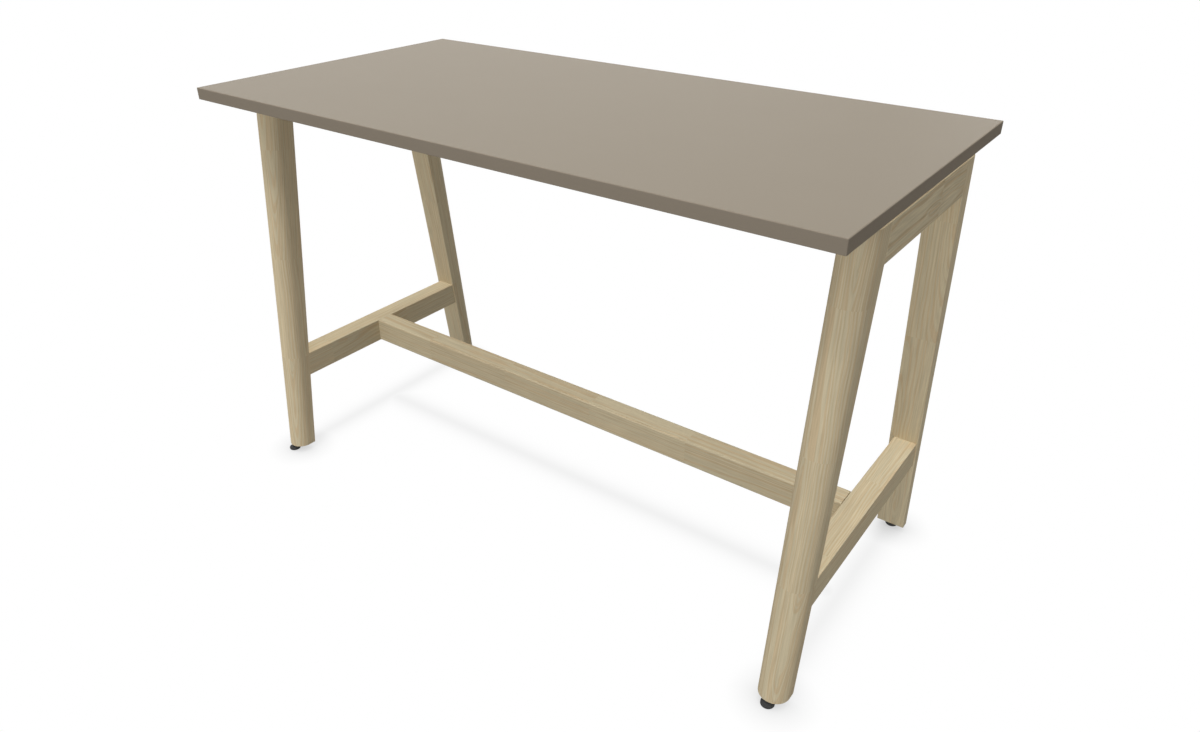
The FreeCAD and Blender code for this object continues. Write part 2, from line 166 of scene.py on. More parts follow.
class Signal:
    """One output socket of a shader tree, on which arithmetic adds Math nodes."""

    def __init__(self, tree: "ShaderTree", socket: bpy.types.NodeSocket) -> None:
        """Wraps a socket of a tree."""
        self.tree = tree
        self.socket = socket

    def __add__(self, other: Value) -> "Signal":
        """This plus another value."""
        return self.tree.math("ADD", self, other)

    def __radd__(self, other: Value) -> "Signal":
        """Another value plus this."""
        return self.tree.math("ADD", other, self)

    def __sub__(self, other: Value) -> "Signal":
        """This less another value."""
        return self.tree.math("SUBTRACT", self, other)

    def __rsub__(self, other: Value) -> "Signal":
        """Another value less this."""
        return self.tree.math("SUBTRACT", other, self)

    def __mul__(self, other: Value) -> "Signal":
        """This times another value."""
        return self.tree.math("MULTIPLY", self, other)

    def __rmul__(self, other: Value) -> "Signal":
        """Another value times this."""
        return self.tree.math("MULTIPLY", other, self)

    def __truediv__(self, other: Value) -> "Signal":
        """This divided by another value."""
        return self.tree.math("DIVIDE", self, other)

    def __rtruediv__(self, other: Value) -> "Signal":
        """Another value divided by this."""
        return self.tree.math("DIVIDE", other, self)


class ShaderTree:
    """The node tree of one material or of the world."""

    def __init__(self, owner: Union[bpy.types.Material, bpy.types.World]) -> None:
        """Empties a material's or world's node tree to build it anew.

        Args:
            owner: the material or world.
        """
        owner.use_nodes = True
        self.nodes = owner.node_tree.nodes
        self.links = owner.node_tree.links
        self.nodes.clear()

    def add(
        self, kind: str, settings: Mapping[str, Any], inputs: Mapping[Union[str, int], Any]
    ) -> bpy.types.Node:
        """Adds one node.

        Args:
            kind: the node's type.
            settings: its attributes, set before its sockets.
            inputs: numbers, colours or signals, by socket.

        Returns:
            The node.
        """
        made = self.nodes.new(kind)
        for name, setting in settings.items():
            setattr(made, name, setting)
        for key, value in inputs.items():
            if isinstance(value, Signal):
                self.links.new(value.socket, made.inputs[key])
            else:
                made.inputs[key].default_value = value
        return made

    def node(
        self,
        kind: str,
        settings: Optional[Mapping[str, Any]] = None,
        inputs: Optional[Mapping[Union[str, int], Any]] = None,
        output: Union[str, int] = 0,
    ) -> Signal:
        """Adds one node and hands on the output that is asked for."""
        return Signal(self, self.add(kind, settings or {}, inputs or {}).outputs[output])

    def math(self, operation: str, first: Value, second: Value = 0.0, clamp: bool = False) -> Signal:
        """One Math node on one or two values."""
        settings = {"operation": operation, "use_clamp": clamp}
        return self.node("ShaderNodeMath", settings, {0: first, 1: second})

    def vector_math(
        self, operation: str, first: Triple, second: Triple = (0.0, 0.0, 0.0), output: str = "Vector"
    ) -> Signal:
        """One Vector Math node on one or two vectors."""
        return self.node("ShaderNodeVectorMath", {"operation": operation}, {0: first, 1: second}, output)

    def length(self, x: Value, y: Value) -> Signal:
        """The distance that two numbers at right angles span."""
        return self.vector_math("LENGTH", self.combine(x, y, 0.0), output="Value")

    def combine(self, x: Value, y: Value, z: Value) -> Signal:
        """A vector from three numbers."""
        return self.node("ShaderNodeCombineXYZ", None, {0: x, 1: y, 2: z})

    def place(self) -> Signal:
        """The point on the object, in metres."""
        return self.node("ShaderNodeTexCoord", output="Object")

    def noise(self, vector: Signal, scale: float, detail: float = 2.0, roughness: float = 0.5) -> Signal:
        """Smooth noise from 0 to 1 at a point."""
        sockets = {"Vector": vector, "Scale": scale, "Detail": detail, "Roughness": roughness}
        return self.node("ShaderNodeTexNoise", {"noise_dimensions": "3D"}, sockets)

    def line_noise(self, along: Signal) -> Signal:
        """Smooth noise from 0 to 1 along a line."""
        sockets = {"W": along, "Scale": 1.0, "Detail": 2.0}
        return self.node("ShaderNodeTexNoise", {"noise_dimensions": "1D"}, sockets)

    def dice(self, x: Value, y: Value, z: Value) -> list[Signal]:
        """Throws dice that fall alike wherever the same three whole numbers come in.

        Args:
            x: the first whole number.
            y: the second.
            z: the third.

        Returns:
            Three random numbers from 0 to 1.
        """
        sockets = {"Vector": self.combine(x, y, z)}
        colour = self.node("ShaderNodeTexWhiteNoise", {"noise_dimensions": "3D"}, sockets, "Color")
        return [self.node("ShaderNodeSeparateColor", None, {0: colour}, channel) for channel in range(3)]

    def fade(self, value: Signal, start: float, finish: float) -> Signal:
        """Runs smoothly from 0 at one value to 1 at another."""
        sockets = {"Value": value, "From Min": start, "From Max": finish}
        return self.node("ShaderNodeMapRange", {"interpolation_type": "SMOOTHSTEP"}, sockets)

    def mix(self, share: Value, first: Rgb, second: Rgb) -> Signal:
        """Blends two colours by a share, in a Mix node's colour sockets 6 and 7 and output 2."""
        sockets = {0: share, 6: (*first, 1.0), 7: (*second, 1.0)}
        return self.node("ShaderNodeMix", {"data_type": "RGBA", "blend_type": "MIX"}, sockets, 2)

    def shade(self, colour: Triple, level: Signal) -> Signal:
        """A colour made lighter or darker by a number around 1."""
        return self.vector_math("MULTIPLY", colour, self.combine(level, level, level))

    def bump(self, height: Signal, distance: float, strength: float = 0.5) -> Signal:
        """A normal that follows a height."""
        sockets = {"Height": height, "Distance": distance, "Strength": strength}
        return self.node("ShaderNodeBump", None, sockets)

    def choose(self, share: Signal, first: Signal, second: Signal) -> Signal:
        """Blends two shaders by a share."""
        return self.node("ShaderNodeMixShader", None, {0: share, 1: first, 2: second})

    def surface(self, sockets: Mapping[str, Any]) -> None:
        """Ends the tree in a Principled surface with the given sockets."""
        self.end("ShaderNodeOutputMaterial", self.node("ShaderNodeBsdfPrincipled", None, sockets))

    def end(self, kind: str, shader: Signal) -> None:
        """Ends the tree in an output node."""
        self.add(kind, {}, {"Surface": shader})


def new_material(name: str) -> tuple[bpy.types.Material, ShaderTree]:
    """An empty material and its tree."""
    material = bpy.data.materials.new(name)
    return material, ShaderTree(material)


# ---------------------------------------------------------------- finishes


@dataclass(frozen=True)
class Timber:
    """The boards chosen for one member.

    Attributes:
        seed: picks their random numbers.
        joint: where one of their end joints lies along the grain, in metres from the member's origin.
        tone: how light they are, around 1. It is partly their own lightness and partly painted light and
            shade, set member by member to even out how the lamps light the member.
        greyness: how far they lean to the grey tone, around 0.
        figure: how much their rings lean and wander, from 0 for straight grain to 1.
        contrast: how strongly their rings and fibres show, around 1.
        knots: places of knots, along and across, in metres from the origin.
    """

    seed: int
    joint: float = 0.0
    tone: float = 1.0
    greyness: float = 0.0
    figure: float = 1.0
    contrast: float = 1.0
    knots: tuple[Pair, ...] = ()


@dataclass(frozen=True)
class Grain:
    """How the grain lies in one wooden member.

    Attributes:
        origin: a point on the member's middle line.
        along: the direction of the grain.
        across: the direction across the staves.
        timber: the boards chosen for it.
    """

    origin: Vector
    along: Unit
    across: Unit
    timber: Timber

    @property
    def directions(self) -> tuple[Unit, Unit, Unit]:
        """The grain's direction, the one across the staves and the one square to both."""
        return self.along, self.across, tuple(Vector(self.along).cross(Vector(self.across)).normalized())


@dataclass(frozen=True)
class Board:
    """What a shader knows about the board that a point lies in.

    Attributes:
        number: counts the boards along the grain.
        tone: a random number for its lightness.
        pith: a random number for where its pith lies.
        lean: a random number for how the pith leans.
        local: the place along it, in metres from its middle.
    """

    number: Signal
    tone: Signal
    pith: Signal
    lean: Signal
    local: Signal


@dataclass(frozen=True)
class WoodFinish:
    """Lacquered timber glued up from short boards, with growth rings, fibres, pores and pin knots.

    A pair named scale has the noise's scale along the grain and across it. A pair named edges says where a
    noise starts and ends its fade. Contrasts and darkenings are shares of the wood's lightness.

    Attributes:
        tan: the warmer of its two colours.
        grey: the greyer one.
        hue_shares: how much streaks, rings and chance count in choosing between them.
        hue_edges: where that choice fades over.
        board_length: from one end joint to the next.
        stave_width: how wide each strip is across the member.
        joint_stagger: how far the joints of the strips are apart, as a share of a board.
        draws: numbers that keep the random draws for staves and boards apart.
        shifts: how far each board and stave moves on in the noises.
        pith_spread: over how wide a band across a board the piths lie.
        pith_depth: how deep they lie at least, and over how deep a band.
        pith_lean: how much they lean sideways and downwards, as a share of the way along.
        wander_reach: how far the rings wander.
        knot_reach: how long and wide the rings' swerve round a knot is.
        knot_swell: how far they swerve.
    """

    tan: Rgb = srgb(204, 184, 150)
    grey: Rgb = srgb(200, 187, 157)
    hue_shares: tuple[float, float, float] = (0.6, 0.4, 0.08)
    hue_edges: Pair = (0.42, 0.58)
    board_length: float = 286 * MM
    board_contrast: float = 0.04
    stave_width: float = 23 * MM
    stave_contrast: float = 0.035
    joint_stagger: float = 0.004
    draws: Pair = (3.0, 11.0)
    shifts: Pair = (7.0, 3.0)
    ring_spacing: float = 3.4 * MM
    ring_shift: float = 31.0
    ring_edges: Pair = (0.36, 0.64)
    ring_contrast: float = 0.12
    pith_spread: float = 90 * MM
    pith_depth: Pair = (18 * MM, 50 * MM)
    pith_lean: Pair = (0.10, 0.14)
    wander_scale: Pair = (5.0, 14.0)
    wander_shift: float = 9.0
    wander_reach: float = 14 * MM
    knot_reach: Pair = (35 * MM, 9 * MM)
    knot_swell: float = 12 * MM
    fibre_scale: Pair = (12.0, 330.0)
    fibre_contrast: float = 0.52
    streak_scale: Pair = (2.0, 130.0)
    pore_scale: Pair = (150.0, 2400.0)
    pore_edges: Pair = (0.62, 0.72)
    pore_darkening: float = 0.04
    pore_depth: float = 0.05 * MM
    pin_scale: float = 8.0
    pin_edges: Pair = (0.005, 0.011)
    pin_darkening: float = 0.30
    roughness: float = 0.82
    roughness_swing: float = 0.12
    specular: float = 0.02

    def material(self, name: str, grain: Grain) -> bpy.types.Material:
        """Builds a member's own material.

        Args:
            name: the material's name.
            grain: how the grain lies in the member.

        Returns:
            The material.
        """
        material, tree = new_material(name)
        timber, seed = grain.timber, float(grain.timber.seed)
        place = tree.vector_math("SUBTRACT", tree.place(), grain.origin)
        point = [tree.vector_math("DOT_PRODUCT", place, unit, "Value") for unit in grain.directions]
        stave = tree.math("FLOOR", point[1] / self.stave_width + 0.5)
        stagger, stave_tone, _ = tree.dice(stave, seed, self.draws[0])
        run = (point[0] - timber.joint) / self.board_length + stagger * self.joint_stagger
        board = self._board(tree, run, seed)
        own_tone, _, _ = tree.dice(board.number, stave, seed)

        rings = self._rings(tree, timber, point, board)
        shift = board.number * self.shifts[0] + stave * self.shifts[1]
        fibre_place = self._drawn_out(tree, point, self.fibre_scale, shift)
        fibres = tree.noise(fibre_place, 1.0, detail=3.0, roughness=0.6)
        streaks = tree.noise(self._drawn_out(tree, point, self.streak_scale, shift), 1.0)
        pore_noise = tree.noise(self._drawn_out(tree, point, self.pore_scale, shift), 1.0, detail=0.0)
        pores = tree.fade(pore_noise, *self.pore_edges)
        sockets = {"Vector": place, "Scale": self.pin_scale}
        cells = tree.node("ShaderNodeTexVoronoi", None, sockets, "Distance")
        pin_knots = 1.0 - tree.fade(cells, *self.pin_edges)

        by_streaks, by_rings, by_chance = self.hue_shares
        leaning = streaks * by_streaks + rings * by_rings + (own_tone - 0.5) * by_chance + timber.greyness
        colour = tree.mix(tree.fade(leaning, *self.hue_edges), self.tan, self.grey)
        # timber.tone holds painted light and shade as well as the boards' own lightness.
        level = (
            timber.tone
            + (board.tone - 0.5) * self.board_contrast
            + (stave_tone + own_tone - 1.0) * self.stave_contrast
            + (rings - 0.5) * (self.ring_contrast * timber.contrast)
            + (fibres - 0.5) * (self.fibre_contrast * timber.contrast)
            - pores * self.pore_darkening
            - pin_knots * self.pin_darkening
        )
        tree.surface(
            {
                "Base Color": tree.shade(colour, level),
                "Roughness": self.roughness + (fibres - 0.5) * self.roughness_swing,
                "Specular IOR Level": self.specular,
                "Normal": tree.bump(fibres * 0.5 - pores, self.pore_depth),
            }
        )
        return material

    def _board(self, tree: ShaderTree, run: Signal, seed: float) -> Board:
        """Finds the board that a point lies in.

        Args:
            tree: the material's tree.
            run: the place along the grain, counted in boards.
            seed: what picks the member's random numbers.

        Returns:
            The board's number, random numbers and place.
        """
        number = tree.math("FLOOR", run)
        tone, pith, lean = tree.dice(number, seed, self.draws[1])
        return Board(number, tone, pith, lean, (tree.math("FRACT", run) - 0.5) * self.board_length)

    @staticmethod
    def _drawn_out(tree: ShaderTree, point: Sequence[Signal], scale: Pair, shift: Signal) -> Signal:
        """Squeezes a point so that noise on it draws out along the grain.

        Args:
            tree: the material's tree.
            point: the place along the grain, across it and square to both.
            scale: the scales along the grain and across it.
            shift: moves each board to a place of its own in the noise.

        Returns:
            The place to look the noise up at.
        """
        along, across, depth = point
        lengthways, crossways = scale
        return tree.combine(along * lengthways + shift, across * crossways, depth * crossways)

    def _rings(self, tree: ShaderTree, timber: Timber, point: Sequence[Signal], board: Board) -> Signal:
        """Growth rings around a pith that lies off to one side of each board and leans a little.

        Args:
            tree: the material's tree.
            timber: the boards chosen for the member.
            point: the place along the grain, across it and square to both.
            board: the board that the point lies in.

        Returns:
            The rings, from 0 to 1.
        """
        along, across, depth = point
        shift = board.number * self.wander_shift
        wander = tree.noise(self._drawn_out(tree, point, self.wander_scale, shift), 1.0)
        side_lean, down_lean = (lean * timber.figure for lean in self.pith_lean)
        sideways = across - (board.pith - 0.5) * self.pith_spread
        sideways = sideways - (board.lean - 0.5) * board.local * side_lean
        nearest, spread = self.pith_depth
        down = depth + nearest + board.lean * spread
        down = down - (board.pith - 0.5) * board.local * down_lean
        radius = tree.length(sideways, down) + (wander - 0.5) * (self.wander_reach * timber.figure)
        for knot_along, knot_across in timber.knots:
            long, wide = self.knot_reach
            near = tree.length((along - knot_along) / long, (across - knot_across) / wide)
            radius = radius + tree.math("EXPONENT", near * near * -1.0) * self.knot_swell
        rings = tree.line_noise(radius / self.ring_spacing + board.number * self.ring_shift)
        return tree.fade(rings, *self.ring_edges)


@dataclass(frozen=True)
class SheetFinish:
    """A matt plastic sheet with a fine pearled texture.

    Attributes:
        colour: its colour.
        cloud_scale: the scale of its faint clouds.
        mottle: how far the clouds change its lightness, and half of how far the texture does.
        grain_scale: the scale of the texture.
        texture_depth: how deep the texture is.
        roughness: how matt it is.
        roughness_swing: how far the texture changes that.
        specular: how strongly it reflects.
    """

    colour: Rgb
    cloud_scale: float = 9.0
    mottle: float = 0.025
    grain_scale: float = 700.0
    texture_depth: float = 0.03 * MM
    roughness: float = 0.6
    roughness_swing: float = 0.15
    specular: float = 0.12

    def material(self, name: str) -> bpy.types.Material:
        """Builds the sheet's material.

        Args:
            name: the material's name.

        Returns:
            The material.
        """
        material, tree = new_material(name)
        place = tree.place()
        cloud = tree.noise(place, self.cloud_scale)
        grain = tree.noise(place, self.grain_scale, roughness=0.6)
        level = 1.0 + (cloud - 0.5) * self.mottle + (grain - 0.5) * self.mottle * 2.0
        tree.surface(
            {
                "Base Color": tree.shade(self.colour, level),
                "Roughness": self.roughness + (grain - 0.5) * self.roughness_swing,
                "Specular IOR Level": self.specular,
                "Normal": tree.bump(grain, self.texture_depth),
            }
        )
        return material


@dataclass(frozen=True)
class ChipFinish:
    """Raw chipboard: glued wood chips of mixed tones.

    Attributes:
        light: the colour of the lightest chips.
        dark: the colour of the darkest.
        chip_scale: the scale of the chips.
        chip_depth: how far they stand out.
        roughness: how matt it is.
        roughness_swing: how far the chips change that.
        specular: how strongly it reflects.
    """

    light: Rgb = srgb(214, 187, 145)
    dark: Rgb = srgb(150, 117, 78)
    chip_scale: float = 320.0
    chip_depth: float = 0.2 * MM
    roughness: float = 0.8
    roughness_swing: float = 0.1
    specular: float = 0.2

    def material(self, name: str) -> bpy.types.Material:
        """Builds the chipboard's material.

        Args:
            name: the material's name.

        Returns:
            The material.
        """
        material, tree = new_material(name)
        sockets = {"Vector": tree.place(), "Scale": self.chip_scale}
        chips = tree.node("ShaderNodeTexVoronoi", None, sockets, "Color")
        tone = tree.node("ShaderNodeSeparateColor", None, {0: chips})
        tree.surface(
            {
                "Base Color": tree.mix(tone, self.light, self.dark),
                "Roughness": self.roughness + (tone - 0.5) * self.roughness_swing,
                "Specular IOR Level": self.specular,
                "Normal": tree.bump(tone, self.chip_depth, strength=0.6),
            }
        )
        return material


@dataclass(frozen=True)
class CoatFinish:
    """Powder coat or moulded plastic, with a fine orange peel and faint handling marks.

    Attributes:
        colour: its colour.
        peel_scale: the scale of the orange peel.
        peel_depth: how deep the orange peel is.
        mark_scale: the scale of the handling marks.
        variation: how far the marks change its roughness, and half of how far its lightness.
        roughness: how matt it is.
        specular: how strongly it reflects.
    """

    colour: Rgb
    peel_scale: float = 600.0
    peel_depth: float = 0.05 * MM
    mark_scale: float = 35.0
    variation: float = 0.12
    roughness: float = 0.45
    specular: float = 0.3

    def material(self, name: str) -> bpy.types.Material:
        """Builds the coating's material.

        Args:
            name: the material's name.

        Returns:
            The material.
        """
        material, tree = new_material(name)
        place = tree.place()
        peel = tree.noise(place, self.peel_scale, detail=1.0)
        marks = tree.noise(place, self.mark_scale, detail=4.0, roughness=0.65)
        tree.surface(
            {
                "Base Color": tree.shade(self.colour, 1.0 + (marks - 0.5) * self.variation * 2.0),
                "Roughness": self.roughness + (marks - 0.5) * self.variation,
                "Specular IOR Level": self.specular,
                "Normal": tree.bump(peel, self.peel_depth, strength=0.4),
            }
        )
        return material


@dataclass(frozen=True)
class PlatedFinish:
    """Plated steel with a faint spangle and dull patches.

    Attributes:
        colour: its colour.
        spangle_scale: the scale of the spangle.
        spangle_contrast: how far the spangle changes its lightness.
        spangle_depth: how deep the spangle is.
        patch_scale: the scale of the dull patches.
        patch_tone: how light the patches are, as a share of the colour.
        roughness: how matt it is.
        roughness_swing: how far the spangle changes that.
    """

    colour: Rgb
    spangle_scale: float = 450.0
    spangle_contrast: float = 0.2
    spangle_depth: float = 0.02 * MM
    patch_scale: float = 60.0
    patch_tone: float = 0.8
    roughness: float = 0.35
    roughness_swing: float = 0.25

    def material(self, name: str) -> bpy.types.Material:
        """Builds the plated steel's material.

        Args:
            name: the material's name.

        Returns:
            The material.
        """
        material, tree = new_material(name)
        place = tree.place()
        spangle = tree.noise(place, self.spangle_scale, detail=3.0, roughness=0.6)
        dull = tuple(channel * self.patch_tone for channel in self.colour)
        base = tree.mix(tree.noise(place, self.patch_scale), self.colour, dull)
        tree.surface(
            {
                "Base Color": tree.shade(base, 1.0 + (spangle - 0.5) * self.spangle_contrast),
                "Roughness": self.roughness + (spangle - 0.5) * self.roughness_swing,
                "Metallic": 1.0,
                "Normal": tree.bump(spangle, self.spangle_depth),
            }
        )
        return material


ASH = WoodFinish()
BEECH = WoodFinish(tan=srgb(216, 178, 138), grey=srgb(203, 165, 124), ring_spacing=1.6 * MM)
TOP_LAMINATE = SheetFinish(srgb(139, 130, 116), roughness=0.5, specular=0.06)
EDGE_BAND = SheetFinish(srgb(140, 130, 116), grain_scale=900.0, roughness=0.85, specular=0.006)
CHIPBOARD = ChipFinish()
BLACK_COAT = CoatFinish(srgb(38, 38, 38))
FOOT_PLASTIC = CoatFinish(
    srgb(58, 58, 58), peel_scale=1500.0, peel_depth=0.03 * MM, roughness=0.7, specular=0.1
)
ZINC = PlatedFinish(srgb(205, 207, 210))
DARK_PLATE = PlatedFinish(srgb(66, 66, 68), roughness=0.42)

# Tones: the boards' own lightness, nudged member by member with painted light and shade to even out how the
# lamps light each member. Greyness, figure, contrast, joints and knots are the wood's own.
LEGS = {
    End.LEFT: {
        Side.FRONT: Timber(seed=1, joint=279 * MM, tone=1.05),
        Side.BACK: Timber(seed=7, joint=286 * MM, tone=1.02, greyness=0.08),
    },
    End.RIGHT: {
        Side.FRONT: Timber(seed=15, joint=279 * MM, tone=0.97, greyness=0.03),
        Side.BACK: Timber(seed=21, joint=286 * MM, tone=1.045, greyness=0.12),
    },
}
TOP_RAILS = {
    End.LEFT: Timber(seed=45, joint=60 * MM, figure=0.4, contrast=1.5),
    End.RIGHT: Timber(
        seed=55, joint=60 * MM, tone=0.965, figure=0.4, contrast=1.5, knots=((28 * MM, -8 * MM),)
    ),
}
CROSS_STRETCHERS = {
    End.LEFT: Timber(seed=52, joint=82 * MM, tone=1.02, greyness=0.08),
    End.RIGHT: Timber(seed=62, joint=82 * MM, greyness=0.08),
}
LONG_BAR = Timber(seed=77, joint=56 * MM, tone=0.98, greyness=0.05, figure=0.3)


# ---------------------------------------------------------------- meshes


class Shape:
    """A mesh under construction."""

    def __init__(self) -> None:
        """Starts an empty mesh."""
        self.mesh = bmesh.new()

    @classmethod
    def loft(cls, rings: Sequence[Sequence[Vector]], loop: bool = False) -> "Shape":
        """Joins rings of as many points each.

        Args:
            rings: the rings, in order.
            loop: joins the last ring to the first, and otherwise both ends are capped.

        Returns:
            The closed shape.
        """
        shape = cls()
        rows = [[shape.mesh.verts.new(point) for point in ring] for ring in rings]
        count = len(rings[0])
        for lower, upper in list(zip(rows, rows[1:])) + ([(rows[-1], rows[0])] if loop else []):
            for step in range(count):
                after = (step + 1) % count
                shape.mesh.faces.new((lower[step], lower[after], upper[after], upper[step]))
        if not loop:
            shape.mesh.faces.new(list(reversed(rows[0])))
            shape.mesh.faces.new(rows[-1])
        return shape.face_outwards()

    @classmethod
    def box(cls, low: Vector, high: Vector) -> "Shape":
        """A box between two opposite corners."""
        outline = ((low.x, low.y), (high.x, low.y), (high.x, high.y), (low.x, high.y))
        return cls.loft([[Vector((x, y, level)) for x, y in outline] for level in (low.z, high.z)])

    @staticmethod
    def _around(centre: Vector, axis: Axis, radius: float, angle: float, level: float) -> Vector:
        """A point on a turned part.

        Args:
            centre: a point on the axis.
            axis: upright or lengthways.
            radius: the distance from the axis.
            angle: the angle around it.
            level: the place along it, counted from the centre.

        Returns:
            The point.
        """
        across, beside = radius * math.cos(angle), radius * math.sin(angle)
        point = (level, across, beside) if axis is Axis.LENGTHWAYS else (across, beside, level)
        return centre + Vector(point)

    @classmethod
    def turned(
        cls,
        profile: Sequence[Pair],
        centre: Vector,
        segments: int = 64,
        axis: Axis = Axis.UPRIGHT,
        loop: bool = False,
    ) -> "Shape":
        """A turned part.

        Args:
            profile: radii and places along the axis, counted from the centre.
            centre: a point on the axis.
            segments: how many sides each ring has.
            axis: upright or lengthways.
            loop: closes the profile on itself, as a tube's does.

        Returns:
            The turned shape.
        """
        angles = [2 * math.pi * (step + 0.5) / segments for step in range(segments)]
        rings = []
        for radius, level in profile:
            rings.append([cls._around(centre, axis, radius, angle, level) for angle in angles])
        return cls.loft(rings, loop)

    @classmethod
    def threaded(
        cls,
        radius: float,
        depth: float,
        pitch: float,
        span: Pair,
        centre: Vector,
        axis: Axis = Axis.UPRIGHT,
    ) -> "Shape":
        """A bar with a right-hand thread that runs out at both ends.

        Args:
            radius: the thread's outer radius.
            depth: how deep it is cut.
            pitch: its rise per turn.
            span: where it starts and ends along the axis, counted from the centre.
            centre: a point on the axis.
            axis: upright or lengthways.

        Returns:
            The threaded bar.
        """
        columns, rows_per_turn = 28, 8
        start, finish = span
        rows = max(2, round((finish - start) / pitch * rows_per_turn))
        rings = []
        for row in range(rows + 1):
            level = start + (finish - start) * row / rows
            fade = min(1.0, (level - start) / pitch, (finish - level) / pitch)
            ring = []
            for column in range(columns):
                phase = (level / pitch - column / columns) % 1.0
                cut = depth * abs(2 * phase - 1)
                reach = radius - cut * fade - depth * (1 - fade)
                ring.append(cls._around(centre, axis, reach, 2 * math.pi * column / columns, level))
            rings.append(ring)
        return cls.loft(rings)

    def face_outwards(self) -> "Shape":
        """Turns every face outwards."""
        bmesh.ops.recalc_face_normals(self.mesh, faces=self.mesh.faces)
        return self

    def round_edges(self, test: EdgeTest, width: float, segments: int) -> "Shape":
        """Rounds some of the edges.

        Args:
            test: which edges to round.
            width: how far from the edge the rounding starts.
            segments: how many faces it has across.

        Returns:
            The shape.
        """
        bmesh.ops.bevel(
            self.mesh,
            geom=[edge for edge in self.mesh.edges if test(edge)],
            offset=width,
            offset_type="OFFSET",
            segments=segments,
            profile=0.5,
            affect="EDGES",
            clamp_overlap=True,
        )
        return self.face_outwards()

    def keep_beyond(self, point: Vector, normal: Vector) -> "Shape":
        """Cuts the shape along a plane and closes it there.

        Args:
            point: a point on the plane.
            normal: the side of the plane to keep.

        Returns:
            The shape.
        """
        cut = bmesh.ops.bisect_plane(
            self.mesh,
            geom=list(self.mesh.verts) + list(self.mesh.edges) + list(self.mesh.faces),
            plane_co=point,
            plane_no=normal,
            clear_inner=True,
        )
        rim = [item for item in cut["geom_cut"] if isinstance(item, bmesh.types.BMEdge)]
        bmesh.ops.contextual_create(self.mesh, geom=rim)
        return self.face_outwards()

    def add(self, other: "Shape") -> "Shape":
        """Takes another shape's mesh in.

        Args:
            other: the other shape, which is used up.

        Returns:
            This shape.
        """
        loose = bpy.data.meshes.new("loose")
        other.mesh.to_mesh(loose)
        other.mesh.free()
        self.mesh.from_mesh(loose)
        bpy.data.meshes.remove(loose)
        return self

    def to_object(self, name: str) -> bpy.types.Object:
        """Ends the construction as an object in the scene.

        Args:
            name: the object's name.

        Returns:
            The object.
        """
        data = bpy.data.meshes.new(name)
        self.mesh.to_mesh(data)
        self.mesh.free()
        made = bpy.data.objects.new(name, data)
        bpy.context.scene.collection.objects.link(made)
        return made


def runs_along(axis: Axis) -> EdgeTest:
    """A test for edges that lie along a direction.

    Args:
        axis: the direction.

    Returns:
        The test.
    """

    def test(edge: bmesh.types.BMEdge) -> bool:
        """Whether the edge is in line with the axis."""
        return abs((edge.verts[1].co - edge.verts[0].co).normalized().dot(Vector(axis.value))) > IN_LINE

    return test


def bounds_face(axis: Axis) -> EdgeTest:
    """A test for the edges around the faces that close a bar's ends.

    Args:
        axis: the direction that those faces look in.

    Returns:
        The test.
    """

    def test(edge: bmesh.types.BMEdge) -> bool:
        """Whether just one of the edge's two faces looks along the axis."""
        ends = [abs(face.normal.dot(Vector(axis.value))) > FACING for face in edge.link_faces]
        return len(ends) == 2 and ends[0] != ends[1]

    return test


@dataclass
class Workshop:
    """Turns shapes into dressed pieces that ride on the table's bodies.

    Attributes:
        nodes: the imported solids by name.
        smooth_angle: the sharpest turn between faces that still looks round.
    """

    nodes: Mapping[str, bpy.types.Object]
    smooth_angle: float = math.radians(32)

    def carve(self, piece: bpy.types.Object, cutters: Iterable[Shape]) -> None:
        """Cuts shapes out of a piece.

        Args:
            piece: the piece.
            cutters: what to cut out, one after another.
        """
        for cutter in cutters:
            tool = cutter.to_object(piece.name + ".cutter")
            change = piece.modifiers.new("carve", "BOOLEAN")
            change.operation = "DIFFERENCE"
            change.solver = "EXACT"
            change.object = tool
            self._apply_modifiers(piece)
            bpy.data.meshes.remove(tool.data)

    def install(
        self,
        piece: bpy.types.Object,
        material: bpy.types.Material,
        slot: Slot,
        replaces: str,
        body: str = "table",
    ) -> None:
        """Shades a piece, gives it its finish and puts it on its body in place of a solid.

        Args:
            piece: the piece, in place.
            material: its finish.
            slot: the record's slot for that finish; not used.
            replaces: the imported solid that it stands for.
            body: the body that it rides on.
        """
        piece.data.polygons.foreach_set("use_smooth", [True] * len(piece.data.polygons))
        piece.data.set_sharp_from_angle(angle=self.smooth_angle)
        weigh = piece.modifiers.new("weigh", "WEIGHTED_NORMAL")
        weigh.keep_sharp = True
        self._apply_modifiers(piece)
        piece.data.materials.clear()
        piece.data.materials.append(material)
        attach(piece, body)
        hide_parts(replaces)
        LOG.info("%s: %d faces, on %s, for %s", piece.name, len(piece.data.polygons), body, replaces)

    def dress(self, names: Iterable[str], material: bpy.types.Material) -> None:
        """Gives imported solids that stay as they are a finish.

        Args:
            names: the solids.
            material: their finish.
        """
        for name in names:
            for slot in self.nodes[name].material_slots:
                slot.material = material
            LOG.info("%s: dressed in %s", name, material.name)

    @staticmethod
    def _apply_modifiers(piece: bpy.types.Object) -> None:
        """Replaces the piece's mesh by what its modifiers make of it.

        Args:
            piece: the piece.
        """
        bpy.context.view_layer.update()
        shown = piece.evaluated_get(bpy.context.evaluated_depsgraph_get())
        result = bpy.data.meshes.new_from_object(shown)
        piece.modifiers.clear()
        old = piece.data
        piece.data = result
        bpy.data.meshes.remove(old)
        result.name = piece.name


# ---------------------------------------------------------------- tabletop


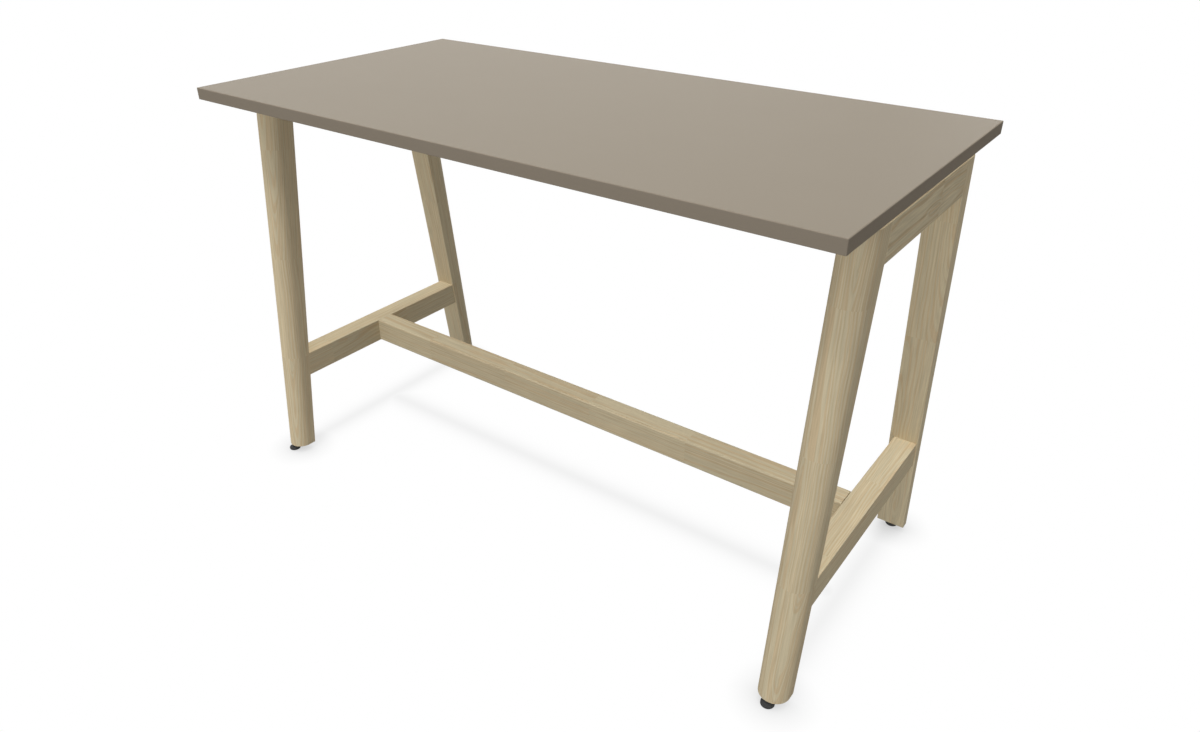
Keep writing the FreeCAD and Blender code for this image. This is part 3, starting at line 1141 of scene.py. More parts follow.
@dataclass
class Tabletop:
    """The board: core and laminates as packed, and four edge bands with rounded arrises.

    Attributes:
        workshop: where its pieces are finished.
        band_thickness: how thick the bands are.
        arris: rounding of the board's edges.
        lower_arris: the lesser rounding around its underside.
        arris_steps: faces across the rounding.
        lower_arris_steps: faces across the lesser one.
    """

    workshop: Workshop
    band_thickness: float = 2 * MM
    arris: float = 1.6 * MM
    lower_arris: float = 0.5 * MM
    arris_steps: int = 5
    lower_arris_steps: int = 3

    def build(self) -> None:
        """Makes the bands and dresses the board."""
        self.workshop.dress(("top_laminate", "underside_laminate"), TOP_LAMINATE.material("taupe_laminate"))
        self.workshop.dress(("tabletop_core",), CHIPBOARD.material("chipboard"))
        taupe = EDGE_BAND.material("taupe_edge_band")
        for place in (*Side, *End):
            shape = self._board().keep_beyond(*self._seam(place.outward))
            if isinstance(place, End):
                for side in Side:
                    point, outward = self._seam(side.outward)
                    shape.keep_beyond(point, -outward)
            node = "edge_band_" + place.word
            self.workshop.install(shape.to_object(node + ".banding"), taupe, Slot.EDGE_BAND, node)

    @staticmethod
    def _corners() -> tuple[Vector, Vector]:
        """The board's lowest and highest corner."""
        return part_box("edge_band_front")[0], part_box("edge_band_back")[1]

    def _board(self) -> Shape:
        """The whole board with its outer edges rounded, less so around the underside.

        Returns:
            The board's shape.
        """
        low, high = self._corners()

        def below(edge: bmesh.types.BMEdge) -> bool:
            """Whether the edge lies around the underside."""
            return max(vert.co.z for vert in edge.verts) < low.z + HAIR

        board = Shape.box(low, high)
        board.round_edges(lambda edge: not below(edge), self.arris, self.arris_steps)
        return board.round_edges(below, self.lower_arris, self.lower_arris_steps)

    def _seam(self, outward: Vector) -> tuple[Vector, Vector]:
        """The plane between the laminate and the band on one side.

        Args:
            outward: the direction out past that side.

        Returns:
            A point on the plane, and the direction.
        """
        low, high = self._corners()
        reach = (high - low) / 2
        offset = abs(reach.x * outward.x) + abs(reach.y * outward.y) - self.band_thickness
        return (high + low) / 2 + outward * offset, outward


# ---------------------------------------------------------------- side frames


@dataclass
class SideFrame:
    """Two splayed legs, the rail between their heads and the stretcher near their feet.

    Attributes:
        workshop: where its pieces are finished.
        end: the end of the table that it stands at.
        legs: the boards of each leg.
        rail: the top rail's boards.
        stretcher: the cross stretcher's boards.
        splay: how far the legs lean outwards.
        depth_head: a leg's depth at its head.
        depth_foot: its depth at the foot.
        inner_arris: rounding of its two inner edges.
        end_arris: rounding around its head and foot.
        bar_arris: rounding along the rail and the stretcher.
        butt_arris: rounding around their ends.
        sleeve_flats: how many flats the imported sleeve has.
        bore_clearance: room around the foot's sleeve.
        tip_bore_radius: the narrower bore above the sleeve.
        tip_bore_room: how far it goes on past the spindle.
        round_steps: faces around a leg's half round.
        arris_steps: faces around its arrises.
        bar_steps: faces across the rounding along the rail and the stretcher.
        butt_steps: faces across the one around their ends.
    """

    workshop: Workshop
    end: End
    legs: Mapping[Side, Timber]
    rail: Timber
    stretcher: Timber
    splay: float = math.radians(7)
    depth_head: float = 73.4 * MM
    depth_foot: float = 51.5 * MM
    inner_arris: float = 1.2 * MM
    end_arris: float = 1.0 * MM
    bar_arris: float = 1.2 * MM
    butt_arris: float = 0.3 * MM
    sleeve_flats: int = 8
    bore_clearance: float = 0.05 * MM
    tip_bore_radius: float = 4.5 * MM
    tip_bore_room: float = 3 * MM
    round_steps: int = 56
    arris_steps: int = 4
    bar_steps: int = 4
    butt_steps: int = 2

    def build(self) -> None:
        """Makes and dresses the frame's four members."""
        for side in Side:
            self._leg(side)
        self._bar("top_rail_", Axis.UPRIGHT, self.rail)
        self._bar("cross_stretcher_", Axis.LENGTHWAYS, self.stretcher)

    def _leg(self, side: Side) -> None:
        """Makes one leg: flat inside, half round outside, tapered, with a bore for its levelling foot.

        Args:
            side: the side of the table that it stands on.
        """
        corner = f"{side.word}_{self.end.word}"
        node = "leg_" + corner
        low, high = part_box(node)
        inner_head, outer_foot = sorted((abs(low.y), abs(high.y)))
        inner_foot = outer_foot - self.depth_foot
        middle, half = (low.x + high.x) / 2, (high.x - low.x) / 2
        rings = []
        for level, inset in self._levels(low.z, high.z):
            share = (level - low.z) / (high.z - low.z)
            inner = inner_foot + (inner_head - inner_foot) * share
            depth = self.depth_foot + (self.depth_head - self.depth_foot) * share
            outline = self._outline(half, inner, depth, inset)
            rings.append([Vector((middle + across, side.value * reach, level)) for across, reach in outline])
        leg = Shape.loft(rings).to_object(node + ".timber")
        self.workshop.carve(leg, [self._bore(corner, low.z)])
        foot = Vector((middle, side.value * (inner_foot + self.depth_foot / 2), low.z))
        head = Vector((middle, side.value * (inner_head + self.depth_head / 2), high.z))
        along = tuple((head - foot).normalized())
        grain = Grain(foot, along, Axis.LENGTHWAYS.value, self.legs[side])
        self.workshop.install(leg, ASH.material("ash_" + node, grain), Slot.ASH, node)

    def _bore(self, corner: str, foot: float) -> Shape:
        """The stepped bore for a sleeve and, above it, the tip of its spindle.

        Args:
            corner: the leg's corner inside a node's name.
            foot: the height of the leg's foot.

        Returns:
            What to cut out.
        """
        sleeve_low, sleeve_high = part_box("glide_insert_" + corner)
        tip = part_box("foot_spindle_" + corner)[1].z
        radius = (sleeve_high.x - sleeve_low.x) / 2 / math.cos(math.pi / self.sleeve_flats)
        wide = radius + self.bore_clearance
        profile = [
            (wide, foot - self.end_arris),
            (wide, sleeve_high.z),
            (self.tip_bore_radius, sleeve_high.z),
            (self.tip_bore_radius, tip + self.tip_bore_room),
        ]
        axis = (sleeve_low + sleeve_high) / 2
        return Shape.turned(profile, Vector((axis.x, axis.y, 0)))

    def _levels(self, foot: float, head: float) -> list[Pair]:
        """The heights of a leg's outlines.

        Args:
            foot: the height of the leg's foot.
            head: the height of its head.

        Returns:
            Each height with how far the rounded end there draws the outline in.
        """
        arris = self.end_arris
        ends = arc((arris, arris), arris, math.pi, 3 * QUARTER, self.arris_steps)
        lower = [(foot + rise, inset) for rise, inset in ends]
        return lower + [(head - rise, inset) for rise, inset in reversed(ends)]

    def _outline(self, half: float, inner: float, depth: float, inset: float) -> list[Pair]:
        """A leg's outline at one height.

        Args:
            half: half the leg's width.
            inner: how far its flat face is from the table's middle line.
            depth: how deep it is there.
            inset: how far the whole outline is drawn in.

        Returns:
            The points around it, across the leg and away from the table's middle line.
        """
        points = []
        for direction, start in ((-1, math.pi), (1, 3 * QUARTER)):
            corner = (direction * (half - self.inner_arris), inner + self.inner_arris)
            points += arc(corner, self.inner_arris - inset, start, start + QUARTER, self.arris_steps)
        return points + arc((0.0, inner + depth - half), half - inset, 0.0, math.pi, self.round_steps)

    def _bar(self, prefix: str, across: Axis, timber: Timber) -> None:
        """Makes a bar between the legs, with its ends cut to their splay.

        Args:
            prefix: the start of its solid's name.
            across: the direction across its staves.
            timber: its boards.
        """
        node = prefix + self.end.word
        low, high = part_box(node)
        lean = (high.z - low.z) * math.tan(self.splay)
        rings = []
        for level, reach in ((low.z, high.y), (high.z, high.y - lean)):
            corners = ((low.x, -reach), (high.x, -reach), (high.x, reach), (low.x, reach))
            rings.append([Vector((x, y, level)) for x, y in corners])
        shape = Shape.loft(rings)
        shape.round_edges(runs_along(Axis.CROSSWAYS), self.bar_arris, self.bar_steps)
        shape.round_edges(bounds_face(Axis.CROSSWAYS), self.butt_arris, self.butt_steps)
        grain = Grain((low + high) / 2, Axis.CROSSWAYS.value, across.value, timber)
        ash = ASH.material("ash_" + node, grain)
        self.workshop.install(shape.to_object(node + ".timber"), ash, Slot.ASH, node)


# ---------------------------------------------------------------- long stretcher


@dataclass
class LongStretcher:
    """The bar along the table, pocketed from below at both ends for the nuts that pull it up.

    Attributes:
        workshop: where its pieces are finished.
        timber: its boards.
        arris: rounding along the bar.
        butt_arris: rounding around its ends.
        shadow_gap: how far its right end stops short of the cross stretcher, which shows as a dark line.
        pocket_radius: the pocket's radius, which the washer's round side rests against.
        pocket_flare: how far the pocket's mouth is opened out.
        pocket_rise: how far its roof is above the rod.
        rod_hole_radius: the hole for the rod.
        rod_radius: the thread's outer radius.
        rod_reach: how far the rod runs on past the pocket's axis.
        thread_depth: how deep the thread is cut.
        thread_pitch: its rise per turn.
        nut_seat: how far the nut's face is from the pocket's axis.
        nut_height: the nut's height.
        nut_arris: the chamfer on its corners.
        arris_steps: faces across the rounding along the bar.
        butt_steps: faces across the one around its ends.
        pocket_sides: how many sides the round pocket has.
    """

    workshop: Workshop
    timber: Timber
    arris: float = 4 * MM
    butt_arris: float = 0.3 * MM
    shadow_gap: float = 1.5 * MM
    pocket_radius: float = 15 * MM
    pocket_flare: float = 0.6 * MM
    pocket_rise: float = 13 * MM
    rod_hole_radius: float = 4.5 * MM
    rod_radius: float = 3.9 * MM
    rod_reach: float = 3 * MM
    thread_depth: float = 0.6 * MM
    thread_pitch: float = 1.25 * MM
    nut_seat: float = 6 * MM
    nut_height: float = 6.5 * MM
    nut_arris: float = 0.5 * MM
    arris_steps: int = 7
    butt_steps: int = 2
    pocket_sides: int = 72

    def build(self) -> None:
        """Makes the bar and its fittings."""
        low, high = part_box("long_stretcher")
        shape = Shape.box(low, high - Vector((self.shadow_gap, 0, 0)))
        shape.round_edges(runs_along(Axis.LENGTHWAYS), self.arris, self.arris_steps)
        shape.round_edges(bounds_face(Axis.LENGTHWAYS), self.butt_arris, self.butt_steps)
        bar = shape.to_object("long_stretcher.timber")
        for end in End:
            self.workshop.carve(bar, self._cutters(end, low, high))
        grain = Grain((low + high) / 2, Axis.LENGTHWAYS.value, Axis.CROSSWAYS.value, self.timber)
        self.workshop.install(bar, ASH.material("ash_long_stretcher", grain), Slot.ASH, "long_stretcher")
        self._fittings()

    def _cutters(self, end: End, low: Vector, high: Vector) -> list[Shape]:
        """What to cut out at one end: the pocket, and the rod's hole from the end into it.

        Args:
            end: the end.
            low: the bar's lowest corner.
            high: its highest corner.

        Returns:
            The pocket and the hole.
        """
        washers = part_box("half_moon_washers")
        rod = (washers[0] + washers[1]) / 2
        pocket_x = self._pocket_x(end)
        mouth = self.pocket_radius + self.pocket_flare
        profile = [
            (mouth, low.z - self.pocket_flare),
            (mouth, low.z),
            (self.pocket_radius, low.z + self.pocket_flare),
            (self.pocket_radius, rod.z + self.pocket_rise),
        ]
        pocket = Shape.turned(profile, Vector((pocket_x, rod.y, 0)), self.pocket_sides)
        outside = end.x_of(low, high) + end.value * MM
        hole = [(self.rod_hole_radius, pocket_x), (self.rod_hole_radius, outside)]
        return [pocket, Shape.turned(hole, Vector((0, rod.y, rod.z)), SMALL_ROUND, Axis.LENGTHWAYS)]

    def _pocket_x(self, end: End) -> float:
        """The X of a pocket's axis: the round side of its washer touches the wall."""
        return end.x_of(*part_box("half_moon_washers")) - end.value * self.pocket_radius

    def _fittings(self) -> None:
        """Makes the threaded rods and the nuts, and dresses the washers and inserts as packed."""
        zinc = ZINC.material("zinc_fittings")
        low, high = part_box("tie_rods")
        centre = Vector((0, (low.y + high.y) / 2, (low.z + high.z) / 2))
        rods, nuts = Shape(), Shape()
        for end in End:
            start, finish = sorted((end.x_of(low, high), self._pocket_x(end) - end.value * self.rod_reach))
            thread = (self.rod_radius, self.thread_depth, self.thread_pitch)
            rods.add(Shape.threaded(*thread, (start, finish), centre, Axis.LENGTHWAYS))
            nuts.add(self._nut(end, centre))
        self.workshop.install(rods.to_object("tie_rods.threaded"), zinc, Slot.ZINC_STEEL, "tie_rods")
        self.workshop.install(nuts.to_object("tie_nuts.hexagon"), zinc, Slot.ZINC_STEEL, "tie_nuts")
        self.workshop.dress(("half_moon_washers", "tie_inserts"), zinc)

    def _nut(self, end: End, centre: Vector) -> Shape:
        """A hexagon nut with rounded corners, bored for the rod.

        Args:
            end: the end of the bar that it sits in.
            centre: a point on the rods' axis.

        Returns:
            The nut's shape.
        """
        low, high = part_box("tie_nuts")
        seat = self._pocket_x(end) + end.value * self.nut_seat
        start, finish = sorted((seat, seat - end.value * self.nut_height))
        corner = (high.y - low.y) / 2 / math.cos(math.pi / HEXAGON)
        face = corner - 2 * self.nut_arris
        profile = [
            (self.rod_radius, start),
            (face, start),
            (corner, start + self.nut_arris),
            (corner, finish - self.nut_arris),
            (face, finish),
            (self.rod_radius, finish),
        ]
        return Shape.turned(profile, centre, HEXAGON, Axis.LENGTHWAYS, loop=True)


# ---------------------------------------------------------------- steel under the top


@dataclass
class UnderTopSteel:
    """Mounting plates, folded support rails and the pan-head screws that hold them to the board.

    Attributes:
        workshop: where its pieces are finished.
        plate_corner: the plates' corner radius.
        plate_arris: rounding around their faces.
        rail_gauge: the thickness of the rails' sheet.
        rail_bend: the outer radius of their bends.
        clearance_radius: the holes for the board screws.
        sink_radius: the countersinks' radius at the plate's face.
        shank_radius: the frame screws' holes below them.
        screw_shank: the board screws' shank.
        head_radius: their heads' radius.
        head_height: their heads' height.
        head_flat: the flat on the head, as a share of its radius.
        head_dome: the domed part, as a share of its height.
        recess_reach: half the length of the crossed recess.
        recess_half: half the width of its slots.
        recess_depth: how deep it is.
        recess_overshoot: how far its cutters stand out of the head.
        overshoot: how far the holes' cutters stand out of plates and rails.
        corner_steps: faces around a plate's corners.
        arris_steps: faces across the rounding around its faces.
        bend_steps: faces around a rail's bends.
        dome_steps: faces up the dome of a head.
        weld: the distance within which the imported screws' points are joined.
        place_digits: the decimals of a metre that tell two screws' places apart.
    """

    workshop: Workshop
    plate_corner: float = 6 * MM
    plate_arris: float = 0.5 * MM
    rail_gauge: float = 2.5 * MM
    rail_bend: float = 4 * MM
    clearance_radius: float = 2.9 * MM
    sink_radius: float = 7.05 * MM
    shank_radius: float = 3.55 * MM
    screw_shank: float = 2.4 * MM
    head_radius: float = 4.9 * MM
    head_height: float = 3 * MM
    head_flat: float = 0.45
    head_dome: float = 0.7
    recess_reach: float = 1.7 * MM
    recess_half: float = 0.35 * MM
    recess_depth: float = 1.4 * MM
    recess_overshoot: float = 0.1 * MM
    overshoot: float = 1.0 * MM
    corner_steps: int = 6
    arris_steps: int = 2
    bend_steps: int = 6
    dome_steps: int = 5
    weld: float = 0.001 * MM
    place_digits: int = 4

    def build(self) -> None:
        """Makes every steel piece under the top."""
        steel = BLACK_COAT.material("black_powder_coat")
        for side in Side:
            for end in End:
                self._plate(f"mounting_plate_{side.word}_{end.word}", steel)
            self._rail("support_rail_" + side.word, steel)
        self._screws()
        self.workshop.dress(("frame_screws",), ZINC.material("zinc_screws"))

    def _spots(self, node: str) -> list[Vector]:
        """Where the separate screws of a group are.

        Args:
            node: the group's name.

        Returns:
            The lowest point of each screw's axis, in order along the table and then across it.
        """
        work = bmesh.new()
        work.from_mesh(bpy.data.objects[node].data)
        bmesh.ops.remove_doubles(work, verts=work.verts, dist=self.weld)
        left = set(work.verts)
        spots = []
        while left:
            group, front = [], [left.pop()]
            while front:
                vert = front.pop()
                group.append(vert.co.copy())
                for other in {edge.other_vert(vert) for edge in vert.link_edges} & left:
                    left.discard(other)
                    front.append(other)
            low, high = (Vector([pick(co[i] for co in group) for i in range(3)]) for pick in (min, max))
            spots.append(Vector(((low.x + high.x) / 2, (low.y + high.y) / 2, low.z)))
        work.free()
        digits = self.place_digits
        return sorted(spots, key=lambda spot: (round(spot.x, digits), round(spot.y, digits)))

    def _holes(self, screws: str, low: Vector, high: Vector, profile: Sequence[Pair]) -> list[Shape]:
        """Holes for the screws that go through a piece.

        Args:
            screws: the screws' group.
            low: the piece's lowest corner.
            high: its highest corner.
            profile: a hole's radii and heights.

        Returns:
            What to cut out.
        """
        spots = self._spots(screws)
        inside = [spot for spot in spots if low.x < spot.x < high.x and low.y < spot.y < high.y]
        return [Shape.turned(profile, Vector((spot.x, spot.y, 0)), SMALL_ROUND) for spot in inside]

    def _plate(self, node: str, steel: bpy.types.Material) -> None:
        """Makes a mounting plate with round corners, countersunk and clearance holes.

        Args:
            node: the plate's solid.
            steel: its finish.
        """
        low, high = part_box(node)
        shape = Shape.box(low, high)
        shape.round_edges(runs_along(Axis.UPRIGHT), self.plate_corner, self.corner_steps)
        shape.round_edges(bounds_face(Axis.UPRIGHT), self.plate_arris, self.arris_steps)
        piece = shape.to_object(node + ".pressing")
        below, above = low.z - self.overshoot, high.z + self.overshoot
        straight = [(self.clearance_radius, below), (self.clearance_radius, above)]
        self.workshop.carve(piece, self._holes("board_screws", low, high, straight))
        neck = high.z - (self.sink_radius - self.shank_radius)
        sunk = [
            (self.shank_radius, below),
            (self.shank_radius, neck),
            (self.sink_radius, high.z),
            (self.sink_radius, above),
        ]
        self.workshop.carve(piece, self._holes("frame_screws", low, high, sunk))
        self.workshop.install(piece, steel, Slot.BLACK_STEEL, node)

    def _rail(self, node: str, steel: bpy.types.Material) -> None:
        """Makes a channel folded from sheet, open below, with clearance holes in its web.

        Args:
            node: the rail's solid.
            steel: its finish.
        """
        low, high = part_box(node)
        middle, half = (low.y + high.y) / 2, (high.y - low.y) / 2
        section = []
        for gauge, order in ((0.0, 1), (self.rail_gauge, -1)):
            bend = self.rail_bend - gauge
            wall, roof = half - gauge, high.z - gauge
            flank = [(wall, low.z)] + arc((wall - bend, roof - bend), bend, 0.0, QUARTER, self.bend_steps)
            whole = flank + [(-across, level) for across, level in reversed(flank)]
            section += whole[::order]
        rings = [[Vector((x, middle + across, level)) for across, level in section] for x in (low.x, high.x)]
        piece = Shape.loft(rings).to_object(node + ".channel")
        straight = [
            (self.clearance_radius, high.z - 2 * self.rail_gauge),
            (self.clearance_radius, high.z + self.overshoot),
        ]
        self.workshop.carve(piece, self._holes("board_screws", low, high, straight))
        self.workshop.install(piece, steel, Slot.BLACK_STEEL, node)

    def _screws(self) -> None:
        """Makes the pan-head screws, each with a crossed recess."""
        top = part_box("board_screws")[1].z
        flat = self.head_radius * self.head_flat
        dome = self.head_height * self.head_dome
        screws, slots = Shape(), (Shape(), Shape())
        for spot in self._spots("board_screws"):
            profile = [
                (flat + (self.head_radius - flat) * across, dome * (1 + rise))
                for across, rise in arc((0.0, 0.0), 1.0, -QUARTER, 0.0, self.dome_steps)
            ]
            profile += [
                (self.head_radius, self.head_height),
                (self.screw_shank, self.head_height),
                (self.screw_shank, top - spot.z),
            ]
            screws.add(Shape.turned(profile, spot, SMALL_ROUND))
            crossing = ((self.recess_reach, self.recess_half), (self.recess_half, self.recess_reach))
            for slot, (x, y) in zip(slots, crossing):
                lowest = spot - Vector((x, y, self.recess_overshoot))
                slot.add(Shape.box(lowest, spot + Vector((x, y, self.recess_depth))))
        piece = screws.to_object("board_screws.pan_head")
        self.workshop.carve(piece, slots)
        self.workshop.install(piece, ZINC.material("zinc_board_screws"), Slot.ZINC_STEEL, "board_screws")


# ---------------------------------------------------------------- levelling feet


@dataclass
class LevellingFoot:
    """A round pad, a threaded spindle with a hexagon collar, and the sleeve that it screws into.

    Attributes:
        workshop: where its pieces are finished.
        side: the side of the table that it stands on.
        end: the end that it stands at.
        plastic: the pad's finish.
        steel: the spindle's finish.
        zinc: the sleeve's finish.
        rim_radius: the pad's radius.
        rim_height: the height of its rim.
        rim_foot_round: rounding under the rim.
        rim_round: rounding over it.
        hub_radius: the hub's radius.
        hub_foot: the height where the pad's cone meets the hub.
        hub_arris: the chamfer on the hub.
        dish: how hollow the cone is, where 1 is straight.
        socket_radius: the hole in the hub for the spindle's stub.
        socket_depth: how deep it is.
        stub_radius: the stub's radius.
        spindle_radius: the thread's outer radius.
        thread_depth: how deep the thread is cut.
        thread_pitch: its rise per turn.
        collar_gap: the gap between the hub and the collar.
        collar_height: the collar's height.
        collar_flats: its width across flats.
        collar_arris: the chamfer on its ends.
        collar_round: rounding of its upright corners.
        lap: how far stub and thread run into the collar.
        sleeve_radius: the sleeve's radius.
        sleeve_bore: its bore.
        sleeve_lead: the lead-in at its mouth.
        rim_foot_steps: faces across the rounding under the rim.
        rim_steps: faces across the one over it.
        dish_steps: faces up the cone.
        pad_sides: how many sides the round pad has.
        collar_steps: faces across the rounding of the collar's corners.
    """

    workshop: Workshop
    side: Side
    end: End
    plastic: bpy.types.Material
    steel: bpy.types.Material
    zinc: bpy.types.Material
    rim_radius: float = 15 * MM
    rim_height: float = 5 * MM
    rim_foot_round: float = 1.2 * MM
    rim_round: float = 0.8 * MM
    hub_radius: float = 6 * MM
    hub_foot: float = 7 * MM
    hub_arris: float = 0.5 * MM
    dish: float = 1.6
    socket_radius: float = 3.05 * MM
    socket_depth: float = 6.5 * MM
    stub_radius: float = 3 * MM
    spindle_radius: float = 4 * MM
    thread_depth: float = 0.65 * MM
    thread_pitch: float = 1.25 * MM
    collar_gap: float = 0.1 * MM
    collar_height: float = 7.7 * MM
    collar_flats: float = 10 * MM
    collar_arris: float = 0.5 * MM
    collar_round: float = 0.3 * MM
    lap: float = 1.0 * MM
    sleeve_radius: float = 6 * MM
    sleeve_bore: float = 4.05 * MM
    sleeve_lead: float = 0.5 * MM
    rim_foot_steps: int = 6
    rim_steps: int = 5
    dish_steps: int = 8
    pad_sides: int = 96
    collar_steps: int = 2

    @property
    def corner(self) -> str:
        """The foot's corner inside a node's name."""
        return f"{self.side.word}_{self.end.word}"

    def build(self) -> None:
        """Makes the foot's three pieces."""
        self._pad()
        self._spindle()
        self._sleeve()

    @staticmethod
    def _axis(node: str) -> tuple[Vector, float, float]:
        """A node's axis at floor level, and its lowest and highest point."""
        low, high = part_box(node)
        return Vector(((low.x + high.x) / 2, (low.y + high.y) / 2, 0)), low.z, high.z

    def _pad(self) -> None:
        """Makes the pad: a rolled rim, a dished cone up to the hub, and the spindle's socket."""
        node = "foot_pad_" + self.corner
        centre, low, high = self._axis(node)
        under = (self.rim_radius - self.rim_foot_round, low + self.rim_foot_round)
        over = (self.rim_radius - self.rim_round, self.rim_height - self.rim_round)
        profile = arc(under, self.rim_foot_round, -QUARTER, 0.0, self.rim_foot_steps)
        profile += arc(over, self.rim_round, 0.0, QUARTER, self.rim_steps)
        for step in range(1, self.dish_steps + 1):
            share = step / self.dish_steps
            radius = over[0] + (self.hub_radius - over[0]) * share
            profile.append((radius, self.rim_height + (self.hub_foot - self.rim_height) * share**self.dish))
        profile += [
            (self.hub_radius, high - self.hub_arris),
            (self.hub_radius - self.hub_arris, high),
            (self.socket_radius, high),
            (self.socket_radius, high - self.socket_depth),
        ]
        piece = Shape.turned(profile, centre, self.pad_sides).to_object(node + ".moulding")
        self.workshop.install(piece, self.plastic, Slot.FOOT_PLASTIC, node, "pad_" + self.corner)

    def _spindle(self) -> None:
        """Makes the spindle: a plain stub, a hexagon collar and a threaded shank."""
        node = "foot_spindle_" + self.corner
        centre, low, high = self._axis(node)
        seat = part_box("foot_pad_" + self.corner)[1].z + self.collar_gap
        top = seat + self.collar_height
        corner = self.collar_flats / math.sqrt(3)
        face = corner - 2 * self.collar_arris
        profile = [
            (face, seat),
            (corner, seat + self.collar_arris),
            (corner, top - self.collar_arris),
            (face, top),
        ]
        collar = Shape.turned(profile, centre, HEXAGON)
        collar.round_edges(runs_along(Axis.UPRIGHT), self.collar_round, self.collar_steps)
        stub = [(self.stub_radius, low), (self.stub_radius, seat + self.lap)]
        spindle = Shape.turned(stub, centre, SMALL_ROUND)
        thread = (self.spindle_radius, self.thread_depth, self.thread_pitch)
        spindle.add(collar).add(Shape.threaded(*thread, (top - self.lap, high), centre))
        piece = spindle.to_object(node + ".threaded")
        self.workshop.install(piece, self.steel, Slot.DARK_STEEL, node, "spindle_" + self.corner)

    def _sleeve(self) -> None:
        """Makes the sleeve, with a small lead-in at its mouth."""
        node = "glide_insert_" + self.corner
        centre, low, high = self._axis(node)
        profile = [
            (self.sleeve_bore + self.sleeve_lead, low),
            (self.sleeve_radius, low),
            (self.sleeve_radius, high),
            (self.sleeve_bore, high),
            (self.sleeve_bore, low + self.sleeve_lead),
        ]
        piece = Shape.turned(profile, centre, loop=True).to_object(node + ".turned")
        self.workshop.install(piece, self.zinc, Slot.ZINC_STEEL, node)


# ---------------------------------------------------------------- hidden joinery


@dataclass
class HiddenJoinery:
    """Loose tenons and dowels, which stay as packed.

    Attributes:
        workshop: where its pieces are finished.
        seed: the number that picks the first kind's boards, and one more for each kind after it.
    """

    workshop: Workshop
    seed: int = 100

    def build(self) -> None:
        """Gives them raw beech with the grain along each kind."""
        runs = {
            "rail_tenons": Axis.CROSSWAYS,
            "stretcher_tenons": Axis.CROSSWAYS,
            "stretcher_dowels": Axis.LENGTHWAYS,
        }
        for count, (node, along) in enumerate(runs.items()):
            low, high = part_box(node)
            grain = Grain((low + high) / 2, along.value, Axis.UPRIGHT.value, Timber(self.seed + count))
            self.workshop.dress((node,), BEECH.material("beech_" + node, grain))


# ---------------------------------------------------------------- studio


@dataclass(frozen=True)
class SunLamp:
    """A distant lamp.

    Attributes:
        name: the lamp's name.
        towards: the direction from the table to the lamp.
        level: how bright a face square to it becomes, where 1 shows a colour as it is written.
        shadow: whether it casts shadows.
        spread: how wide it looks from the table, in degrees.
        gloss: how strongly it shows in reflections, from 0 to 1.
    """

    name: str
    towards: Unit
    level: float
    shadow: bool = False
    spread: float = 30.0
    gloss: float = 0.5

    def build(self) -> None:
        """Puts the lamp in the scene."""
        data = bpy.data.lights.new(self.name, "SUN")
        data.energy = self.level * math.pi
        data.angle = math.radians(self.spread)
        data.use_shadow = self.shadow
        data.specular_factor = self.gloss
        lamp = bpy.data.objects.new(self.name, data)
        lamp.rotation_euler = Vector(self.towards).to_track_quat("Z", "Y").to_euler()
        bpy.context.scene.collection.objects.link(lamp)


